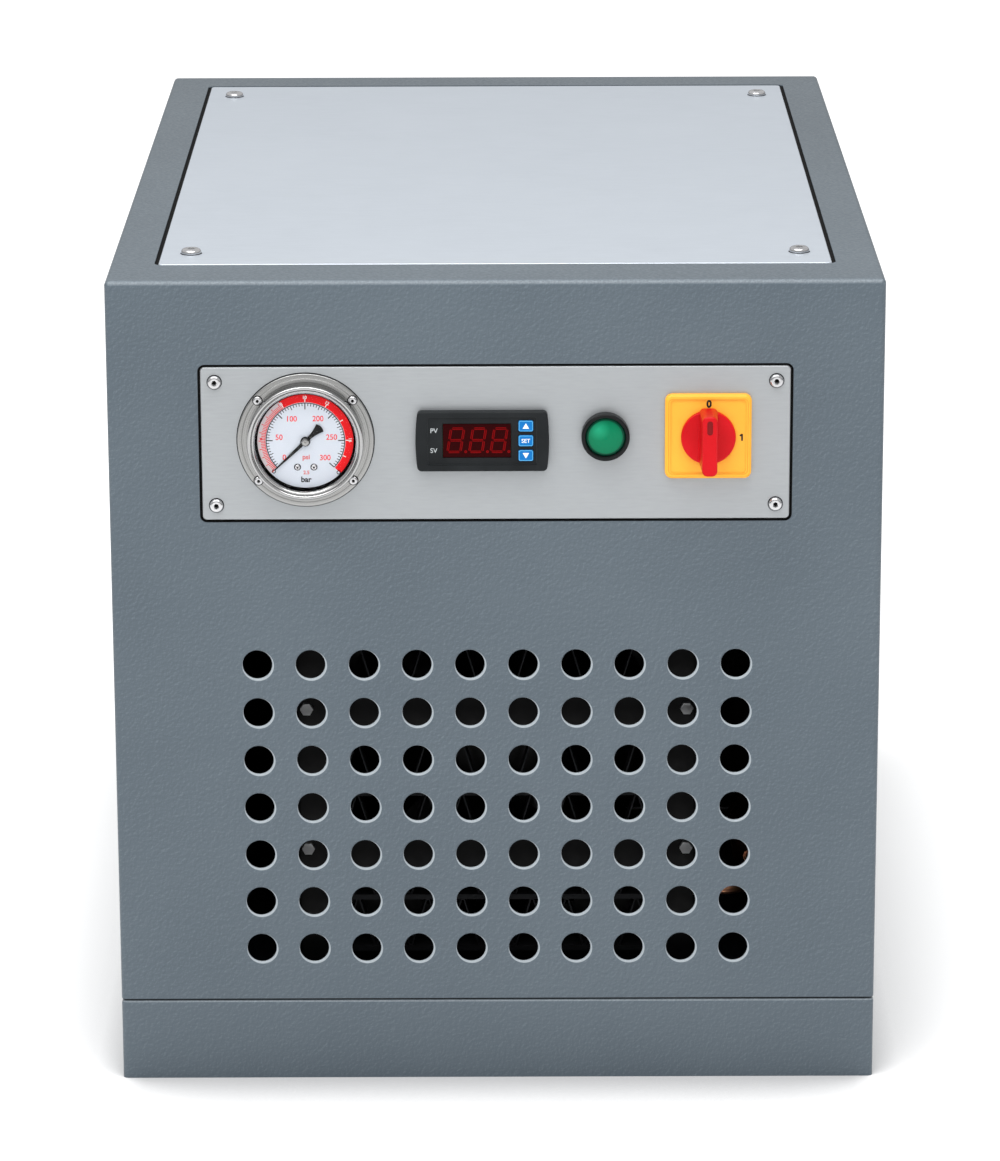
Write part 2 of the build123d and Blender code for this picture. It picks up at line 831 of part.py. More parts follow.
def lamp_bezel():
    # Collar and threaded barrel in one moulding
    bore = lamp_barrel_radius - lamp_barrel_wall
    seat_radius = lamp_lens_radius + 0.1
    outer = lamp_bezel_radius
    high = lamp_bezel_height
    edge = lamp_bezel_edge
    middle = (outer - edge + edge * cos(pi / 4), high - edge + edge * sin(pi / 4))
    body = turned_profile([
        Polyline((seat_radius, lamp_seat), (bore, lamp_seat), (bore, -lamp_barrel_length)),
        Line((bore, -lamp_barrel_length), (lamp_barrel_radius, -lamp_barrel_length)),
        Line((lamp_barrel_radius, -lamp_barrel_length), (lamp_barrel_radius, 0)),
        Polyline((lamp_barrel_radius, 0), (outer, 0), (outer, high - edge)),
        ThreePointArc((outer, high - edge), middle, (outer - edge, high)),
        Polyline((outer - edge, high), (seat_radius + edge / 2, high), (seat_radius, high - edge)),
        Line((seat_radius, high - edge), (seat_radius, lamp_seat)),
    ])
    return at_lamp() * body


def lamp_lens():
    # Solid lens with a shallow dome and a rounded rim
    lens = disc(lamp_lens_radius, lamp_seat, lamp_lens_height)
    curve = (lamp_lens_radius**2 / lamp_lens_dome + lamp_lens_dome) / 2
    lens &= Pos(0, 0, lamp_lens_height - curve) * Sphere(curve)
    rim = lens.edges().group_by(SortBy.LENGTH)[-1].sort_by(Axis.Z)[-1]
    return at_lamp() * fillet(rim, lamp_lens_edge)


def lamp_nut():
    low = -panel_thickness - lamp_nut_height
    nut = hexagon(lamp_nut_radius, low, -panel_thickness)
    return at_lamp() * (nut - disc(lamp_barrel_radius + 0.1, low - 1, 0))


def at_switch():
    return facing_out(switch_x, switch_z)


def switch_plate():
    # Square yellow escutcheon: bevelled rim around a slightly sunk field
    plate = slab(switch_plate_size, switch_plate_size, 0, switch_plate_height, switch_plate_radius)
    plate = chamfer(plate.faces().sort_by(Axis.Z)[-1].edges(), switch_plate_bevel)
    field = switch_plate_height - switch_field_depth
    plate -= slab(switch_field_size, switch_field_size, field, switch_plate_height + 1, 2)
    plate -= disc(switch_shaft_radius * 2, -1, switch_plate_height)
    return at_switch() * plate


def switch_knob():
    # Round disc with a tapered bar handle across it
    low = switch_plate_height - switch_field_depth + part_clearance
    high = low + knob_disc_height
    disc_body = disc(knob_radius, low, high)
    disc_body = fillet(disc_body.edges().group_by(Axis.Z)[-1], knob_edge)
    foot_length = handle_length - knob_edge
    foot = Pos(0, 0, low + 1) * RectangleRounded(handle_foot_width, foot_length, handle_round)
    top = Pos(0, 0, handle_reach) * RectangleRounded(handle_width, handle_length, handle_round)
    handle = loft([foot, top])
    handle = chamfer(handle.faces().sort_by(Axis.Z)[-1].edges(), handle_edge)
    knob = disc_body + handle
    knob -= disc(switch_shaft_radius + running_clearance, low - 1, low + 8)
    pocket = slab(marker_width, marker_length, handle_reach - marker_depth, handle_reach + 1,
                  marker_width * 0.45, y=marker_offset)
    return at_switch() * (knob - pocket)


def switch_indicator():
    # Dark insert near the top end of the handle
    gap = 0.1
    insert = slab(marker_width - gap, marker_length - gap, handle_reach - marker_depth,
                  handle_reach - 0.3, marker_width * 0.42, y=marker_offset)
    return at_switch() * insert


def switch_shaft():
    top = switch_plate_height - switch_field_depth + part_clearance + 8
    return at_switch() * disc(switch_shaft_radius, top - switch_shaft_length, top)


def switch_body():
    # Stacked contact blocks behind the panel
    low = -panel_thickness - switch_body_depth
    body = slab(switch_body_size, switch_body_size, low, -panel_thickness, 2)
    body -= disc(switch_shaft_radius + running_clearance, low + 6, 0)
    return at_switch() * body


def condenser_y(distance):
    return front + distance


def bolt_hole(x, z, depth):
    # Cutter along Y for a condenser bolt
    hole = Cylinder(bolt_shank_radius + screw_clearance / 2, depth)
    return Pos(x, condenser_y(condenser_front), z) * Rot(90, 0, 0) * hole


def condenser_headers():
    # Upright end tanks, rounded on the outside
    near = condenser_y(condenser_front)
    far = near + condenser_depth
    tank = block(header_x - header_width / 2, header_x + header_width / 2, near, far,
                 condenser_low, condenser_high)
    outer_edges = tank.edges().filter_by(Axis.Z).group_by(Axis.X)[-1]
    tank = chamfer(outer_edges, header_width * 0.3)
    for z in rail_levels:
        tank -= bolt_hole(bolt_x, z, 2 * bolt_shank_length)
    return group([tank, mirror(tank, Plane.YZ)])


def tube_levels():
    step = (condenser_high - condenser_low - 2 * flat_tube_height) / (flat_tube_count - 1)
    return [condenser_low + flat_tube_height + step * i for i in range(flat_tube_count)], step


def condenser_tubes():
    near = condenser_y(condenser_front) + 2
    far = near + condenser_depth - 4
    half = header_x - header_width / 2
    levels, step = tube_levels()
    thick = flat_tube_height / 2
    return group(block(-half, half, near, far, z - thick, z + thick) for z in levels)


def condenser_fins():
    # Folded fin strips between the flat tubes
    near = condenser_y(condenser_front) + 3
    far = near + condenser_depth - 6
    levels, step = tube_levels()
    strips = []
    for z in levels[:-1]:
        strips.append(folded_strip(z + flat_tube_height / 2, z + step - flat_tube_height / 2, near, far))
    return group(strips)


def folded_strip(low, high, near, far):
    # A trapezoid wave of thin sheet, its crests flat on the tubes
    half = header_x - header_width / 2 - 1
    period = 2 * half / fin_folds
    thick = fin_thickness
    crest = fin_crest / 2
    slope = atan2(high - low - thick, period / 2 - 2 * crest)
    shift = thick / 2 * tan(slope / 2)
    upper = [(-half, low + thick)]
    lower = [(-half, low)]
    for i in range(fin_folds):
        foot = -half + i * period
        peak = foot + period / 2
        after = foot + period
        upper += [(foot + crest - shift, low + thick), (peak - crest - shift, high)]
        upper += [(peak + crest + shift, high), (after - crest + shift, low + thick)]
        lower += [(foot + crest + shift, low), (peak - crest + shift, high - thick)]
        lower += [(peak + crest - shift, high - thick), (after - crest - shift, low)]
    upper.append((half, low + thick))
    lower.append((half, low))
    face = make_face(Plane.XZ * Polyline(*upper, *reversed(lower), close=True))
    return Pos(0, far, 0) * extrude(face, far - near, dir=(0, -1, 0))


def condenser_brackets():
    # Angle uprights that stand on the base, their front flanges against the tanks
    near = condenser_y(condenser_front)
    outer = header_x + header_width / 2
    flange = block(outer - bracket_flange, outer + bracket_sheet, near - bracket_sheet, near,
                   base_height, condenser_high)
    web = block(outer, outer + bracket_sheet, near - bracket_sheet, near + bracket_web,
                base_height, condenser_high)
    foot = block(outer, outer + bracket_foot, near - bracket_sheet, near + condenser_depth,
                 base_height, base_height + bracket_sheet)
    upright = flange + web + foot
    for z in rail_levels:
        upright -= bolt_hole(bolt_x, z, bolt_hole_depth)
    return group([upright, mirror(upright, Plane.YZ)])


def condenser_rails():
    near = condenser_y(condenser_front) - bracket_sheet
    outer = header_x + header_width / 2 + bracket_sheet
    rails = []
    for z in rail_levels:
        rail = block(-outer, outer, near - rail_sheet, near, z - rail_height / 2, z + rail_height / 2)
        for x in (-bolt_x, bolt_x):
            rail -= bolt_hole(x, z, bolt_hole_depth)
        rails.append(rail)
    return group(rails)


def condenser_bolts():
    bolt = hex_screw(bolt_head_radius, bolt_head_height, bolt_shank_radius, bolt_shank_length)
    seat = condenser_y(condenser_front) - bracket_sheet - rail_sheet
    places = [(x, z) for x in (-bolt_x, bolt_x) for z in rail_levels]
    return group(facing_out(x, z, seat) * bolt for x, z in places)


def at_fan():
    # Local Z points to the rear, with zero on the shroud's back face
    origin = (0, front + shroud_front + shroud_sheet, fan_z)
    return Plane(origin=origin, x_dir=(-1, 0, 0), z_dir=(0, 1, 0)).location


def fan_shroud():
    # Plate behind the condenser with a rolled ring around the fan, on two feet
    low = base_height - fan_z
    top = condenser_high - fan_z
    half = shroud_size / 2
    plate = Pos(0, (low + top) / 2, -shroud_sheet) * extrude(Rectangle(2 * half, top - low), shroud_sheet)
    plate += disc(fan_ring_radius + shroud_sheet, -shroud_sheet, fan_ring_depth)
    plate -= disc(fan_ring_radius, -shroud_sheet - 1, fan_ring_depth + 1)
    foot = Pos(0, low + shroud_sheet / 2, 0) * extrude(Rectangle(2 * half, shroud_sheet), bracket_foot)
    return at_fan() * (plate + foot)


def blade_section():
    # Crescent of sheet across a blade, in the plane that the radius pierces
    half = fan_blade_width / 2
    thin = fan_blade_thickness / 2
    high = fan_blade_camber / 2
    section = Curve() + [
        ThreePointArc((-half, thin - high), (0, thin + high), (half, thin - high)),
        Line((half, thin - high), (half, -thin - high)),
        ThreePointArc((half, -thin - high), (0, high - thin), (-half, -thin - high)),
        Line((-half, -thin - high), (-half, thin - high)),
    ]
    return make_face(Plane.YZ * section)


def fan_rotor():
    # Five pitched and cambered blades on a round hub
    hub_low = fan_ring_depth - fan_hub_depth
    rotor = disc(fan_hub_radius, hub_low, fan_ring_depth)
    rotor = fillet(rotor.edges().group_by(Axis.Z)[0], fan_hub_edge)
    middle = (hub_low + fan_ring_depth) / 2
    root = fan_hub_radius * 0.85
    for i in range(fan_blade_count):
        blade = extrude(blade_section(), fan_blade_radius + fan_blade_thickness - root, dir=(1, 0, 0))
        blade = Pos(root, 0, middle) * Rot(fan_blade_pitch, 0, 0) * blade
        rotor += Rot(0, 0, i * 360 / fan_blade_count) * blade
    rotor &= disc(fan_blade_radius, -5, fan_ring_depth + 10)
    rotor -= disc(fan_shaft_radius + running_clearance, hub_low - 1, fan_ring_depth + 1)
    return at_fan() * rotor


def fan_shaft():
    low = fan_ring_depth - fan_hub_depth
    high = fan_ring_depth + spider_sheet + fan_motor_depth * 0.6
    return at_fan() * disc(fan_shaft_radius, low, high)


def fan_spider():
    # Motor mount: a centre ring on four arms, with legs down to the shroud
    low = fan_ring_depth + 6
    high = low + spider_sheet
    reach = fan_ring_radius + 12
    mount = ring(fan_motor_radius, fan_motor_radius * 0.55, low, high)
    for i in range(spider_arms):
        arm = block(fan_motor_radius - 3, reach, -spider_arm_width / 2, spider_arm_width / 2, low, high)
        leg = block(reach - spider_sheet, reach, -spider_arm_width / 2, spider_arm_width / 2, 0, high)
        mount += Rot(0, 0, 45 + i * 360 / spider_arms) * (arm + leg)
    return at_fan() * mount


def fan_motor():
    low = fan_ring_depth + 6 + spider_sheet
    body = disc(fan_motor_radius, low, low + fan_motor_depth)
    body = chamfer(body.faces().sort_by(Axis.Z)[-1].edges(), 4)
    body -= disc(fan_shaft_radius + running_clearance, low - 1, low + fan_motor_depth * 0.7)
    return at_fan() * body


def foot_level():
    return base_height + grommet_height


def compressor_shell():
    # Two pressed cups with domed ends, welded together at a rim above the middle
    low = foot_level() + foot_plate_thickness
    high = low + compressor_height
    seam = low + compressor_height * 0.73
    r = compressor_radius
    rim = r + weld_seam
    cap = compressor_cap
    flat = r - cap
    bulge = flat + cap * cos(pi / 4)
    drop = cap - cap * sin(pi / 4)
    shell = turned_profile([
        Line((0, low), (flat, low)),
        ThreePointArc((flat, low), (bulge, low + drop), (r, low + cap)),
        Polyline((r, low + cap), (r, seam - weld_seam), (rim, seam - weld_seam), (rim, seam + weld_seam)),
        Polyline((rim, seam + weld_seam), (r, seam + weld_seam), (r, high - cap)),
        ThreePointArc((r, high - cap), (bulge, high - drop), (flat, high)),
        Polyline((flat, high), (0, high), (0, low)),
    ])
    return Pos(compressor_x, compressor_y, 0) * shell


def compressor_foot():
    low = foot_level()
    high = low + foot_plate_thickness
    plate = slab(foot_plate_size, foot_plate_size, low, high, 14, compressor_x, compressor_y)
    for x, y in compressor_bolt_places():
        plate -= disc(foot_bolt_radius + screw_clearance, low - 1, high + 1, x, y)
    return plate


def compressor_grommets():
    pads = [ring(grommet_radius, foot_bolt_radius + screw_clearance, base_height, foot_level(), x, y)
            for x, y in compressor_bolt_places()]
    return group(pads)


def compressor_bolts():
    seat = foot_level() + foot_plate_thickness
    bolt = hex_screw(foot_bolt_head, foot_bolt_radius, foot_bolt_radius, seat - base_height + 8)
    return group(Pos(x, y, seat) * bolt for x, y in compressor_bolt_places())


def compressor_cover():
    # Terminal cover clipped to the shell's left side
    middle = foot_level() + compressor_height * 0.5
    outer = compressor_x - compressor_radius - cover_depth * 0.6
    box = block(outer, outer + cover_depth, compressor_y - cover_width / 2, compressor_y + cover_width / 2,
                middle - cover_height / 2, middle + cover_height / 2)
    box = fillet(box.edges().group_by(Axis.X)[0], cover_edge)
    shell = Cylinder(compressor_radius + part_clearance, 2 * cover_height)
    return box - Pos(compressor_x, compressor_y, middle) * shell


def heat_exchanger():
    # Foam-jacketed block that holds the air-to-air and the refrigerant exchangers
    jacket = block(*exchanger_x, *exchanger_y, exchanger_low, exchanger_high)
    return fillet(jacket.edges(), exchanger_radius)


def exchanger_stand():
    # Bent sheet table between the base and the jacket
    inset = exchanger_radius
    x_low, x_high = exchanger_x[0] + inset, exchanger_x[1] - inset
    y_low, y_high = exchanger_y[0] + inset, exchanger_y[1] - inset
    table = block(x_low, x_high, y_low, y_high, exchanger_low - stand_sheet, exchanger_low)
    for x in (x_low, x_high - stand_sheet):
        table += block(x, x + stand_sheet, y_low, y_high, base_height, exchanger_low)
    return table


def air_ports():
    # Hexagon bulkhead fittings with an internal thread
    seat = rear_sheet
    high = seat + port_hex_length
    fitting = hexagon(port_hex_radius, seat, high) + disc(port_barrel_radius, -port_barrel_length, seat)
    fitting -= disc(port_thread_radius, high - port_thread_length, high + 1)
    fitting -= disc(port_thread_radius * 0.75, -port_barrel_length - 1, high)
    return group(facing_out(x, port_z, back, True) * fitting for x in port_x)


def port_nuts():
    nut = hexagon(port_hex_radius, -port_nut_length, 0)
    nut -= disc(port_barrel_radius + 0.1, -port_nut_length - 1, 1)
    return group(facing_out(x, port_z, back, True) * nut for x in port_x)


def pipe(radius, bend, *points):
    # Straight runs joined by tangent arcs
    if len(points) > 2:
        route = FilletPolyline(*points, radius=bend)
    else:
        route = Polyline(*points)
    start = Plane(origin=route @ 0, z_dir=route % 0)
    return sweep(start * Circle(radius), path=route)


def air_pipes():
    start = back - port_barrel_length
    pipes = []
    for x in port_x:
        points = [(x, start, port_z), (x, air_pipe_y, port_z), (x, air_pipe_y, exchanger_high)]
        pipes.append(pipe(air_pipe_radius, air_pipe_bend, *points))
    return group(pipes)


def drain_valve():
    wide, long, tall = drain_valve_size
    start = exchanger_y[1] + drain_valve_gap
    low = drain_z - drain_valve_below
    end = start + long
    body = block(drain_x - wide / 2, drain_x + wide / 2, start, end, low, low + tall)
    body = chamfer(body.edges().filter_by(Axis.Z), drain_valve_edge)
    inset = long / 8
    foot = block(drain_x - wide / 4, drain_x + wide / 4, start + inset, end - inset, base_height, low)
    coil = disc(wide * 0.42, low + tall, low + tall + drain_coil_height, drain_x, start + long / 2)
    coil = fillet(coil.edges().group_by(Axis.Z)[-1], drain_valve_edge)
    return body + foot + coil


def drain_fitting():
    # Hose union through the rear panel
    seat = rear_sheet
    inner = exchanger_y[1] + drain_valve_gap + drain_valve_size[1]
    body = hexagon(drain_hex_radius, seat, seat + drain_hex_length)
    body += disc(drain_pipe_radius * 1.5, inner - back, seat)
    body -= disc(drain_bore_radius, inner - back - 1, seat + drain_hex_length + 1)
    return facing_out(drain_x, drain_z, back, True) * body


def cable_gland():
    # Inlet gland for the supply lead, with its bore open
    seat = rear_sheet
    body = hexagon(gland_hex_radius, seat, seat + gland_length * 0.5)
    body += disc(gland_hex_radius * 0.82, seat, seat + gland_length)
    body += disc(gland_bore_radius * 1.8, -gland_length * 0.7, seat)
    body += hexagon(gland_hex_radius, -6, 0)
    body -= disc(gland_bore_radius, -gland_length, seat + gland_length + 1)
    return facing_out(gland_x, gland_z, back, True) * body


def terminal_box():
    wide, deep, tall = terminal_box_size
    box = block(terminal_box_x - wide / 2, terminal_box_x + wide / 2, back - deep, back,
                terminal_box_low, terminal_box_low + tall)
    return chamfer(box.faces().sort_by(Axis.Y)[0].edges(), 3)


def filter_drier():
    # Copper canister drawn down at both ends
    r = drier_radius
    body = turned(
        (0, 0),
        (liquid_pipe_radius + 1, 0),
        (r, r),
        (r, drier_length - r),
        (liquid_pipe_radius + 1, drier_length),
        (0, drier_length),
    )
    start = Plane(origin=(liquid_x, drier_start, liquid_level), x_dir=(1, 0, 0), z_dir=(0, 1, 0))
    return start.location * body


def copper_pipes():
    top = foot_level() + foot_plate_thickness + compressor_height
    discharge = pipe(
        discharge_pipe_radius, pipe_bend,
        (-header_x, compressor_y, top),
        (-header_x, compressor_y, discharge_level),
        (-header_x, header_y, discharge_level),
        (-header_x, header_y, condenser_high),
    )
    liquid = pipe(
        liquid_pipe_radius, pipe_bend,
        (header_x + header_width / 2, header_y, liquid_level),
        (liquid_x, header_y, liquid_level),
        (liquid_x, drier_start, liquid_level),
    )
    expansion = pipe(
        liquid_pipe_radius, pipe_bend,
        (liquid_x, drier_start + drier_length, liquid_level),
        (liquid_x, exchanger_y[0], liquid_level),
    )
    suction_x = compressor_x + suction_offset[0]
    suction_y = compressor_y + suction_offset[1]
    suction = pipe(
        suction_pipe_radius, pipe_bend,
        (suction_x, suction_y, top),
        (suction_x, suction_y, suction_level),
        (exchanger_x[0], suction_y, suction_level),
    )
    stem_end = front - gauge_back + stem_length
    gauge_line = pipe(
        gauge_line_radius, pipe_bend,
        (gauge_x, stem_end, gauge_z),
        (gauge_x, gauge_line_y, gauge_z),
        (gauge_line_x, gauge_line_y, gauge_z),
        (gauge_line_x, gauge_line_y, exchanger_high),
    )
    drain = pipe(
        drain_pipe_radius, pipe_bend,
        (drain_x, exchanger_y[1], drain_z),
        (drain_x, exchanger_y[1] + drain_valve_gap, drain_z),
    )
    return group([discharge, liquid, expansion, suction, gauge_line, drain])


makers = [
    base, hood, hood_screws, top_plate, top_plate_screws, control_panel, panel_screws,
    rear_panel, rear_panel_screws,
    gauge_flange, gauge_flange_screws, gauge_case, gauge_bezel, gauge_glass, gauge_dial,
    gauge_dial_screws, gauge_movement, gauge_pointer,
    controller_bezel, controller_case, controller_board, controller_display,
    lamp_bezel, lamp_lens, lamp_nut,
    switch_plate, switch_knob, switch_indicator, switch_shaft, switch_body,
    condenser_headers, condenser_tubes, condenser_fins, condenser_brackets, condenser_rails,
    condenser_bolts,
    fan_shroud, fan_rotor, fan_shaft, fan_spider, fan_motor,
    compressor_shell, compressor_foot, compressor_grommets, compressor_bolts, compressor_cover,
    heat_exchanger, exchanger_stand, air_ports, port_nuts, air_pipes,
    drain_valve, drain_fitting, cable_gland, terminal_box, filter_drier, copper_pipes,
]

os.makedirs("parts", exist_ok=True)
for make in makers:
    export_step(make(), f"parts/{make.__name__}.step")
for name, level in key_places().items():
    export_step(controller_key(level), f"parts/{name}.step")
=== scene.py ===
import json
import math
import bpy
from mathutils import Matrix, Vector


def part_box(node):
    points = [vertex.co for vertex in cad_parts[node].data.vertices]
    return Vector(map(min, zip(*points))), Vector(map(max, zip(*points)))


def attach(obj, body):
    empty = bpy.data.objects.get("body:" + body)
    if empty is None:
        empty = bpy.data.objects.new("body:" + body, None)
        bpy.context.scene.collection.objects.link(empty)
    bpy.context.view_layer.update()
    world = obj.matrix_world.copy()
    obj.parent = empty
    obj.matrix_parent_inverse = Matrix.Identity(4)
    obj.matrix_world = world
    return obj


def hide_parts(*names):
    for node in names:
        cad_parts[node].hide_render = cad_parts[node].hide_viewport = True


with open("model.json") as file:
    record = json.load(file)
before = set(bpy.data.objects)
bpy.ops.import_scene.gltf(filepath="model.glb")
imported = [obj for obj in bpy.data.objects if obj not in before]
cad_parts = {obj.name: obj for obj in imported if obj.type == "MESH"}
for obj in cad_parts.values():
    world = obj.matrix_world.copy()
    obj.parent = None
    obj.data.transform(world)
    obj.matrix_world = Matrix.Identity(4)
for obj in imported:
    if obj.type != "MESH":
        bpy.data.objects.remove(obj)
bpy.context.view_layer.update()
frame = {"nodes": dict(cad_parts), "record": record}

mm = 0.001


# Finishes: every pattern is in metres, on Object coordinates
class Recipe:
    # A material with its nodes, and short ways to add and join more
    def __init__(self, name):
        self.material = bpy.data.materials.new(name)
        self.material.use_nodes = True
        self.tree = self.material.node_tree
        self.shader = self.tree.nodes["Principled BSDF"]
        self.output = self.tree.nodes["Material Output"]
        self.place = self.add("ShaderNodeTexCoord").outputs["Object"]

    def add(self, kind, **settings):
        node = self.tree.nodes.new(kind)
        for name, value in settings.items():
            setattr(node, name, value)
        return node

    def join(self, source, target):
        self.tree.links.new(source, target)

    def mapped(self, scale=(1, 1, 1), shift=(0, 0, 0)):
        node = self.add("ShaderNodeMapping")
        node.inputs["Scale"].default_value = scale
        node.inputs["Location"].default_value = shift
        self.join(self.place, node.inputs["Vector"])
        return node.outputs["Vector"]

    def noise(self, scale, detail=3.0, vector=None, roughness=0.5):
        node = self.add("ShaderNodeTexNoise")
        node.inputs["Scale"].default_value = scale
        node.inputs["Detail"].default_value = detail
        node.inputs["Roughness"].default_value = roughness
        self.join(vector or self.place, node.inputs["Vector"])
        return node.outputs["Fac"]

    def spread(self, source, low, high, fromLow=0.3, fromHigh=0.7):
        node = self.add("ShaderNodeMapRange")
        for name, value in (("From Min", fromLow), ("From Max", fromHigh), ("To Min", low), ("To Max", high)):
            node.inputs[name].default_value = value
        self.join(source, node.inputs["Value"])
        return node.outputs["Result"]

    def blended(self, share, first, second):
        node = self.add("ShaderNodeMix", data_type="RGBA")
        self.join(share, node.inputs["Factor"])
        for socket, value in (("A", first), ("B", second)):
            target = [s for s in node.inputs if s.name == socket and s.type == "RGBA"][0]
            if isinstance(value, tuple):
                target.default_value = (*value, 1.0)
            else:
                self.join(value, target)
        return [s for s in node.outputs if s.type == "RGBA"][0]

    def bump(self, height, distance, strength=1.0, after=None):
        node = self.add("ShaderNodeBump")
        node.inputs["Strength"].default_value = strength
        node.inputs["Distance"].default_value = distance
        self.join(height, node.inputs["Height"])
        if after:
            self.join(after, node.inputs["Normal"])
        return node.outputs["Normal"]

    def math(self, operation, first, *others):
        node = self.add("ShaderNodeMath", operation=operation)
        for socket, value in zip(node.inputs, (first, *others)):
            if isinstance(value, bpy.types.NodeSocket):
                self.join(value, socket)
            else:
                socket.default_value = value
        return node.outputs["Value"]

    def parts(self):
        # X, Y and Z of the place on the object
        node = self.add("ShaderNodeSeparateXYZ")
        self.join(self.place, node.inputs["Vector"])
        return node.outputs

    def fromPoint(self, x, z):
        # Distance from a line along Y
        here = self.parts()
        across = self.math("POWER", self.math("SUBTRACT", here["X"], x), 2.0)
        upward = self.math("POWER", self.math("SUBTRACT", here["Z"], z), 2.0)
        return self.math("SQRT", self.math("ADD", across, upward))

    def set(self, **values):
        for name, value in values.items():
            socket = self.shader.inputs[name.replace("_", " ")]
            if isinstance(value, bpy.types.NodeSocket):
                self.join(value, socket)
            elif isinstance(value, tuple):
                socket.default_value = (*value, 1.0)
            else:
                socket.default_value = value
        return self


# Camera, floor and light
cameraView = {
    "lens": 156.8,                                # mm on a 36 mm sensor
    "place": (0.0038, -3.0661, 1.0803),
    "turn": -0.034,                               # degrees to the right
    "down": 15.863,                               # degrees
    "roll": -0.19,
}


def makeCamera(look):
    turn = math.radians(look["turn"])
    down = math.radians(look["down"])
    roll = math.radians(look["roll"])
    ahead = Vector((math.sin(turn) * math.cos(down), math.cos(turn) * math.cos(down), -math.sin(down)))
    level = Vector((math.cos(turn), -math.sin(turn), 0))
    upright = level.cross(ahead)
    across = math.cos(roll) * level + math.sin(roll) * upright
    upward = math.cos(roll) * upright - math.sin(roll) * level
    bpy.ops.object.camera_add(location=look["place"])
    camera = bpy.context.object
    camera.name = "camera"
    camera.data.lens = look["lens"]
    camera.data.clip_start = 0.1
    camera.data.clip_end = 50
    camera.rotation_euler = Matrix((across, upward, -ahead)).transposed().to_euler()
    bpy.context.scene.camera = camera


studioLight = {
    "skyTop": 0.84,                               # brightness overhead
    "skyEdge": 0.35,                              # brightness at the horizon
    "skyRise": (0.02, 0.40),                      # sine of the elevation, where it brightens
    "overheadPlace": (-0.25, -0.95, 1.9),
    "overheadSize": (2.4, 1.1),
    "overheadPower": 16.0,
    "keyPlace": (-0.5, -2.4, 2.4),
    "keySize": (3.0, 1.2),
    "keyPower": 19.0,
    "stripPlace": (-0.1, -0.78, 1.75),
    "stripSize": (1.6, 0.16),
    "stripPower": 8.0,
    "floorColour": (0.90, 0.90, 0.90),
    "floorPaintedShadow": (0.34, 0.34, 0.345),
    "floorGlow": 0.42,
    "floorSize": 14.0,
    "sideShadow": 0.55,                           # how much of it is left beside the plinth
    "sideFade": (0.205, 0.235),
    "shadowReach": 0.095,                         # metres from the plinth
}


def areaLight(name, place, size, power, aim):
    bpy.ops.object.light_add(type="AREA", location=place)
    light = bpy.context.object
    light.name = name
    light.data.shape = "RECTANGLE"
    light.data.size, light.data.size_y = size
    light.data.energy = power
    light.rotation_euler = (Vector(aim) - Vector(place)).to_track_quat("-Z", "Y").to_euler()


def whiteSky(look):
    # Dimmer towards the horizon, so that bright metal has something dark to mirror
    world = bpy.data.worlds.new("whiteRoom")
    world.use_nodes = True
    tree = world.node_tree
    direction = tree.nodes.new("ShaderNodeTexCoord")
    parts = tree.nodes.new("ShaderNodeSeparateXYZ")
    ramp = tree.nodes.new("ShaderNodeMapRange")
    ramp.interpolation_type = "SMOOTHSTEP"
    ramp.inputs["From Min"].default_value, ramp.inputs["From Max"].default_value = look["skyRise"]
    ramp.inputs["To Min"].default_value = look["skyEdge"]
    ramp.inputs["To Max"].default_value = look["skyTop"]
    tree.links.new(direction.outputs["Generated"], parts.inputs["Vector"])
    tree.links.new(parts.outputs["Z"], ramp.inputs["Value"])
    tree.links.new(ramp.outputs["Result"], tree.nodes["Background"].inputs["Strength"])
    tree.nodes["Background"].inputs["Color"].default_value = (1, 1, 1, 1)
    bpy.context.scene.world = world


def paperFloor(look):
    # White paper with a painted contact shadow along the plinth: an occlusion mask darkens its colour and its glow,
    # less so beside the plinth
    paper = Recipe("paperFloor")
    corner = paper.add("ShaderNodeAmbientOcclusion", samples=12)
    corner.inputs["Distance"].default_value = look["shadowReach"]
    # Painted shadow: darker where the plinth is near
    shadowMask = paper.spread(corner.outputs["AO"], 1.0, 0.0, 0.5, 1.0)
    aside = paper.math("ABSOLUTE", paper.parts()["X"])
    shadowMask = paper.math("MULTIPLY", shadowMask, paper.spread(aside, 1.0, look["sideShadow"], *look["sideFade"]))
    grain = paper.spread(paper.noise(220.0, 2.0), 0.96, 1.0)
    shade = paper.blended(shadowMask, look["floorColour"], look["floorPaintedShadow"])
    paper.set(Base_Color=shade, Roughness=grain, Specular_IOR_Level=0.05)
    paper.set(Emission_Color=shade, Emission_Strength=look["floorGlow"])
    return paper.material


def makeStudio(look):
    whiteSky(look)
    bpy.context.scene.view_settings.view_transform = "Standard"
    middle = (0, 0, 0.25)
    for name in ("overhead", "key", "strip"):
        areaLight(name + "Light", look[name + "Place"], look[name + "Size"], look[name + "Power"], middle)
    bpy.ops.mesh.primitive_plane_add(size=look["floorSize"])
    floor = bpy.context.object
    floor.name = "floor"
    floor.data.materials.append(paperFloor(look))


makeCamera(cameraView)
makeStudio(studioLight)
print("camera, floor and light are in place")


